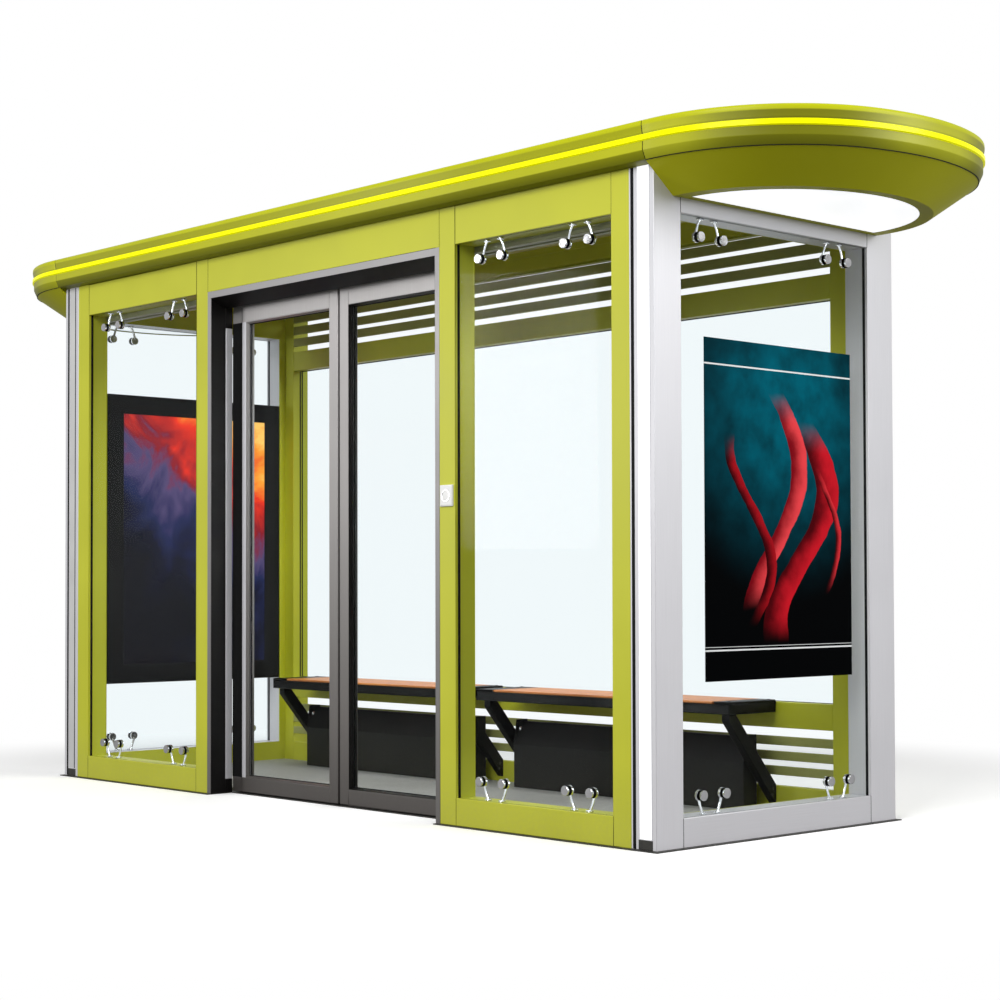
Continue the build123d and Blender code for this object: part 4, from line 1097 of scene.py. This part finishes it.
def makeDoorway(look):
    low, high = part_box("door_casing_jambs")
    near, far, face = low.y - look["proud"], low.y + 0.002, look["face"]
    edges = [
        ((low.x, near, low.z), (low.x + face, far, high.z)),
        ((high.x - face, near, low.z), (high.x, far, high.z)),
        ((low.x + face, near, high.z - look["lip"]), (high.x - face, far, high.z)),
    ]
    addPiece("casing_front_edges", blocks(edges, 0.0005), "casing_metal", material="shaded_casing_edge")
    guardLow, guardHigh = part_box("door_guards")
    # Black blocks above and below the guards are painted shade.
    guardShade = [((x, guardLow.y, z0), (x + face, guardHigh.y, z1)) for x in (low.x, high.x - face)
              for z0, z1 in ((low.z, guardLow.z), (guardHigh.z, look["guardShadeTop"]))]
    addPiece("guard_covers", blocks(guardShade, 0.001), "casing_metal")

    for side, body in (("left", "door_left"), ("right", "door_right")):
        low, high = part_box("door_frame_" + side)
        high = Vector((high.x, high.y, look["leafTop"]))
        glassLow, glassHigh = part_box("door_glass_" + side)
        outer, inner = (glassLow.x, glassHigh.x) if side == "left" else (glassHigh.x, glassLow.x)
        edge = low.x if side == "left" else high.x
        into = 1 if side == "left" else -1
        t = look["seal"]
        span = sorted((edge - into * t, outer + into * t))
        # A black strip over the outer stile is painted shade on its face.
        cover = [((span[0], low.y - t, glassLow.z), (span[1], high.y - 0.0005 + t, glassHigh.z))]
        addPiece(side + "_leaf_cover", blocks(cover, 0.0004), "door_metal", body, material="rubber")
        stile = outer + into * look["stile"]
        span = sorted((outer + into * t, stile))
        deep = look["leafDeep"]
        bar = [((span[0], low.y, glassLow.z - 0.001), (span[1], low.y + deep, glassHigh.z + 0.001))]
        rect = (*sorted((stile, inner)), glassLow.z, glassHigh.z)
        wide, back = look["bead"], look["beadBack"]
        fronts = [(-0.001, low.y + 0.0015), (0.0015, low.y + 0.0015), (wide, low.y + back),
                  (wide, glassLow.y - 0.002), (-0.001, glassLow.y - 0.002)]
        backs = [(i, low.y + deep - (y - low.y)) for i, y in fronts[:3]]
        backs += [(wide, glassHigh.y + 0.002), (-0.001, glassHigh.y + 0.002)]
        # The inner stile gets the paler silver finish in place of the door metal: painted light that brightens
        # it.
        addPiece(side + "_leaf_stile", blocks(bar, 0.0015), "door_metal", body, material="silver_metal")
        metal = joined(ring(rect, fronts, "front"), ring(rect, backs, "front"))
        addPiece(side + "_leaf_beads", metal, "door_metal", body, material=look["beadFinishAndShade"][side])
        u0, u1 = wide - 0.004, wide + 0.0015
        sides = ((glassLow.y - 0.0021, glassLow.y - 0.0002), (glassHigh.y + 0.0002, glassHigh.y + 0.0021))
        seals = [ring(rect, [(u0, y0), (u1, y0), (u1, y1), (u0, y1)], "front") for y0, y1 in sides]
        meeting = high.x if side == "left" else low.x
        middle = low.y + deep / 2
        nose = [(meeting + into * x, middle + y) for x, y in look["nose"]]
        seals.append(prism(nose, (low.z + look["noseClear"], high.z - look["noseClear"])))
        addPiece(side + "_leaf_seals", joined(*seals), "door_metal", body, material="rubber")


makeDoorway(doorwayLook)
print("doorway is dressed")


# Lit corners: black strips in the gaps beside the lights, foot blocks under them, thin bright rims.
cornerLook = {
    "lights": ((-1.959, -1.902), (1.9195, 1.9765)),
    "gaps": ((-1.979, -1.9655), (-1.911, -1.9015), (1.8865, 1.9015)),
    "rim": 0.0025, "footTop": 0.042, "stripDown": 0.036, "stripDeep": 0.09,
    "finish": {"left": "dim_light", "right": "white_light"},
}


def makeCorners(look):
    low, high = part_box("corner_lights")
    near, far = low.y - 0.0008, low.y + 0.004
    outline = [(-look["rim"], far), (-look["rim"], near), (0.0006, near), (0.0012, low.y + 0.001), (0.0012, far)]
    rims = [ring((x0 - 0.0005, x1 + 0.0005, low.z, high.z), outline, "front") for x0, x1 in look["lights"]]
    addPiece("light_rims", joined(*rims), "silver_metal")
    for side, (x0, x1) in zip(("left", "right"), look["lights"]):
        sheet = blocks([((x0, low.y, low.z), (x1, high.y, high.z))], 0.001)
        addPiece("light_" + side, sheet, "white_light", replaced=["corner_lights"],
                 material=look["finish"][side])
    feet = [((x0 - 0.006, low.y - 0.0012, 0.005), (x1 + 0.006, low.y + 0.01, look["footTop"] - 0.002))
            for x0, x1 in look["lights"]]
    addPiece("light_feet", blocks(feet, 0.0015), "dark_metal")
    strips = [((x0, low.y - 0.0006, low.z - look["stripDown"]), (x1, low.y + look["stripDeep"], high.z - 0.001))
              for x0, x1 in look["gaps"]]
    addPiece("corner_gap_strips", blocks(strips, 0.001), "dark_metal", material="rubber")


makeCorners(cornerLook)


# Rubber along the panes.
sealLook = {
    "bays": ((-1.7805, -0.8465), (0.941, 1.791)), "level": (0.111, 2.279), "frontY": (-0.689, -0.675),
    "endY": (-0.5593, 0.5398), "endLevel": (0.109, 2.273), "endX": (1.974, 1.988), "width": 0.002,
}


def makeSeals(look):
    strips = []
    w = look["width"]
    for x0, x1 in look["bays"]:
        strips += [((x, look["frontY"][0], look["level"][0]), (x + w, look["frontY"][1], look["level"][1]))
                   for x in (x0 - 0.001, x1 - w + 0.001)]
    for side in (-1, 1):
        near, far = sorted((side * look["endX"][0], side * look["endX"][1]))
        for y in (look["endY"][0] - 0.001, look["endY"][1] - w + 0.001):
            strips.append(((near, y, look["endLevel"][0]), (far, y + w, look["endLevel"][1])))
    low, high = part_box("back_glass")
    outlines = [[(-0.001, y0), (0.0010, y0), (0.0015, y1), (-0.001, y1)]
                for y0, y1 in ((low.y - 0.006, low.y + 0.0005), (high.y + 0.006, high.y - 0.0005))]
    rings = [ring((low.x, high.x, low.z, high.z), outline, "front") for outline in outlines]
    addPiece("pane_seals", joined(blocks(strips, 0.001), *rings), "black_metal", material="rubber")


makeSeals(sealLook)


# Thin open joints where rails and headers meet the posts.
jointLook = {
    "headers": (-1.7805, -0.8465, -0.7555, 0.847, 0.941, 1.791),
    "doorway": (-0.7555, 0.847),     # no rail at the foot here
    "end": (-0.5593, 0.5398), "endSpans": (0.109, 2.273), "sill": 0.004,
    "endFace": (1.996, 2.0), "width": 0.0016, "proud": 0.0004,
}


def makeJoints(look):
    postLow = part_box("front_posts")[0]
    headLow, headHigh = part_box("front_headers")
    footLow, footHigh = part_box("front_rails")
    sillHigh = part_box("end_rails")[1]
    lowSpan, highSpan = (look["sill"], look["endSpans"][0]), (look["endSpans"][1], sillHigh.z)
    w = look["width"] / 2
    lines = []
    near, far = postLow.y - look["proud"], postLow.y + 0.004
    for x in look["headers"]:
        spans = [(headLow.z, headHigh.z)] + ([(footLow.z, footHigh.z)] if x not in look["doorway"] else [])
        lines += [((x - w, near, z0), (x + w, far, z1)) for z0, z1 in spans]
    for side in (-1, 1):
        near, far = sorted((side * look["endFace"][0], side * (look["endFace"][1] + look["proud"])))
        for y in look["end"]:
            lines += [((near, y - w, z0), (far, y + w, z1)) for z0, z1 in (lowSpan, highSpan)]
    addPiece("frame_joints", blocks(lines, 0.0002), "dark_metal", material="rubber")


makeJoints(jointLook)


# Lit picture unit in the far end wall: sloped bezel round the picture, vents and screws behind.
displayLook = {
    "picture": (-0.4463, 0.4498, 0.537, 1.827), "bezel": 0.012,
    "slots": 12, "slotPitch": 0.016, "slotHeight": 0.006, "slotLength": 0.26, "slotStarts": (-0.4, 0.14),
    "ventIn": 0.06, "screwIn": 0.02, "frontScrewIn": 0.018,
}


def makeDisplay(look):
    low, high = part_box("display_housing")
    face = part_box("display_screen")[1].x
    slope = ring(look["picture"], [
        (-0.004, high.x + 0.0008), (-0.001, high.x + 0.0008), (look["bezel"], face + 0.0006),
        (look["bezel"], face - 0.001), (-0.004, high.x - 0.001)], "end")
    addPiece("picture_bezel", slope, "black_metal", material="deep_black")
    vents = []
    for foot in (low.z + look["ventIn"], high.z - look["ventIn"] - look["slots"] * look["slotPitch"]):
        for i in range(look["slots"]):
            z = foot + i * look["slotPitch"]
            top = z + look["slotHeight"]
            vents += [((low.x - 0.0015, y, z), (low.x + 0.001, y + look["slotLength"], top))
                      for y in look["slotStarts"]]
    addPiece("display_vents", blocks(vents, 0.0006), "black_metal")
    edge = look["screwIn"]
    spots = [((low.x - 0.0002, y, z), "left") for y in (low.y + edge, 0, high.y - edge)
             for z in (low.z + edge, (low.z + high.z) / 2, high.z - edge)]
    edge = look["frontScrewIn"]
    spots += [((high.x - 0.0004, y, z), "right") for y in (low.y + edge, high.y - edge)
              for z in (low.z + edge, high.z - edge)]
    addPiece("display_screws", placed(turned(benchLook["screw"], 16), spots, "black_metal"), "black_metal")


makeDisplay(displayLook)


# Door switch: white plate with a round key in a steel ring.
switchLook = {"rim": 0.004, "key": 0.02, "ringWidth": 0.004}


def makeSwitch(look):
    low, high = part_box("door_button")
    middle = (low + high) / 2
    rim = look["rim"]
    plate = blocks([((low.x, low.y + rim / 2, low.z), (high.x, high.y, high.z)),
                    ((low.x + rim, low.y, low.z + rim), (high.x - rim, low.y + rim, high.z - rim))], 0.0012)
    addPiece("switch_plate", plate, "silver_metal", replaced=["door_button"], material="white_plastic")
    key, wide = look["key"], look["ringWidth"]
    edge = [(key, 0), (key, 0.0012), (key + 0.001, 0.0022), (key + wide - 0.001, 0.0022), (key + wide, 0.001),
            (key + wide, 0), (key, 0)]
    dome = [(0, 0.0012), (key * 0.7, 0.0011), (key - 0.0015, 0.0006), (key - 0.0005, -0.001), (0, -0.001)]
    spot = [((middle.x, low.y + 0.0002, middle.z), "front")]
    for name, outline, finish in (("switch_ring", edge, "chrome"), ("switch_key", dome, "white_plastic")):
        addPiece(name, placed(turned(outline, 40), spot, finish), "silver_metal", material=finish)


makeSwitch(switchLook)
print("corners, seals, display and switch are dressed")


# Roof: standing seams across the deck, two gutter outlets and screws along the edges.
roofLook = {
    "seams": (-1.8, -1.2, -0.6, 0.0, 0.6, 1.2, 1.8), "seamWidth": 0.012, "seamHeight": 0.004, "edge": 0.012,
    "screwPitch": 0.3, "screwRow": 4.0, "screwIn": 0.02,
    "outlets": ((-1.5, 0.5), (1.5, 0.5)),
    "outlet": [(0.02, 0), (0.022, 0.0035), (0.05, 0.0035), (0.054, 0.001), (0.054, 0), (0.02, 0)],
}


def makeRoof(look):
    low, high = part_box("roof_deck")
    half, wide = high.y - look["edge"], look["seamWidth"] / 2
    foot, top = high.z - 0.001, high.z + look["seamHeight"]
    seams = [((x - wide, -half, foot), (x + wide, half, top)) for x in look["seams"]]
    addPiece("roof_seams", blocks(seams, 0.0015), "canopy_paint")
    count, row = int(look["screwRow"] / look["screwPitch"]), look["screwRow"]
    spots = [((-row / 2 + row * (i + 0.5) / count, side * (half - look["screwIn"]), high.z - 0.0006), "up")
             for i in range(count) for side in (-1, 1)]
    addPiece("roof_screws", placed(turned(benchLook["screw"], 16), spots, "chrome"), "chrome")
    spots = [((x, y, high.z - 0.0002), "up") for x, y in look["outlets"]]
    addPiece("roof_outlets", placed(turned(look["outlet"], 32), spots, "dark_metal"), "dark_metal")


makeRoof(roofLook)


# Ceiling of pale sheets with narrow open joints.
ceilingLook = {"sheets": 6, "joint": 0.004}


def makeCeiling(look):
    low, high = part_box("ceiling_panel")
    step = (high.x - low.x) / look["sheets"]
    half = look["joint"] / 2
    sheets = [((low.x + i * step + half, low.y, low.z), (low.x + (i + 1) * step - half, high.y, high.z))
              for i in range(look["sheets"])]
    addPiece("ceiling_sheets", blocks(sheets, 0.0015), "lime_paint", replaced=["ceiling_panel"],
             material="pale_paint")


makeCeiling(ceilingLook)


# Bolts and screws that hold the back wall.
boltLook = {
    "head": [(0, 0.0045), (0.0045, 0.0045), (0.0055, 0.0038), (0.0062, 0.0018), (0.0095, 0.0012), (0.0098, 0),
             (0, 0)],
    "sunk": 0.0004,
    "posts": (-1.85, 1.838), "rails": (-1.2, -0.6, 0.0, 0.6, 1.2), "heights": (0.057, 0.403, 2.149, 2.452),
    "slats": (-1.78, -0.6, 0.6, 1.757), "slatHeights": (0.1737, 0.235, 0.2964, 2.249, 2.313, 2.3763),
}


def makeBolts(look):
    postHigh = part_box("back_posts")[1]
    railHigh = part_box("back_rails")[1]
    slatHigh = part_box("back_slats")[1]
    spots = []
    for wall, places in ((postHigh, look["posts"]), (railHigh, look["rails"])):
        spots += [((x, wall.y - look["sunk"], z), "back") for x in places for z in look["heights"]]
    addPiece("back_bolts", placed(turned(look["head"], 12), spots, "chrome"), "chrome")
    spots = [((x, slatHigh.y - look["sunk"], z), "back") for x in look["slats"] for z in look["slatHeights"]]
    addPiece("slat_screws", placed(turned(benchLook["screw"], 12), spots, "chrome"), "chrome")


makeBolts(boltLook)
print("roof and bolts are set")
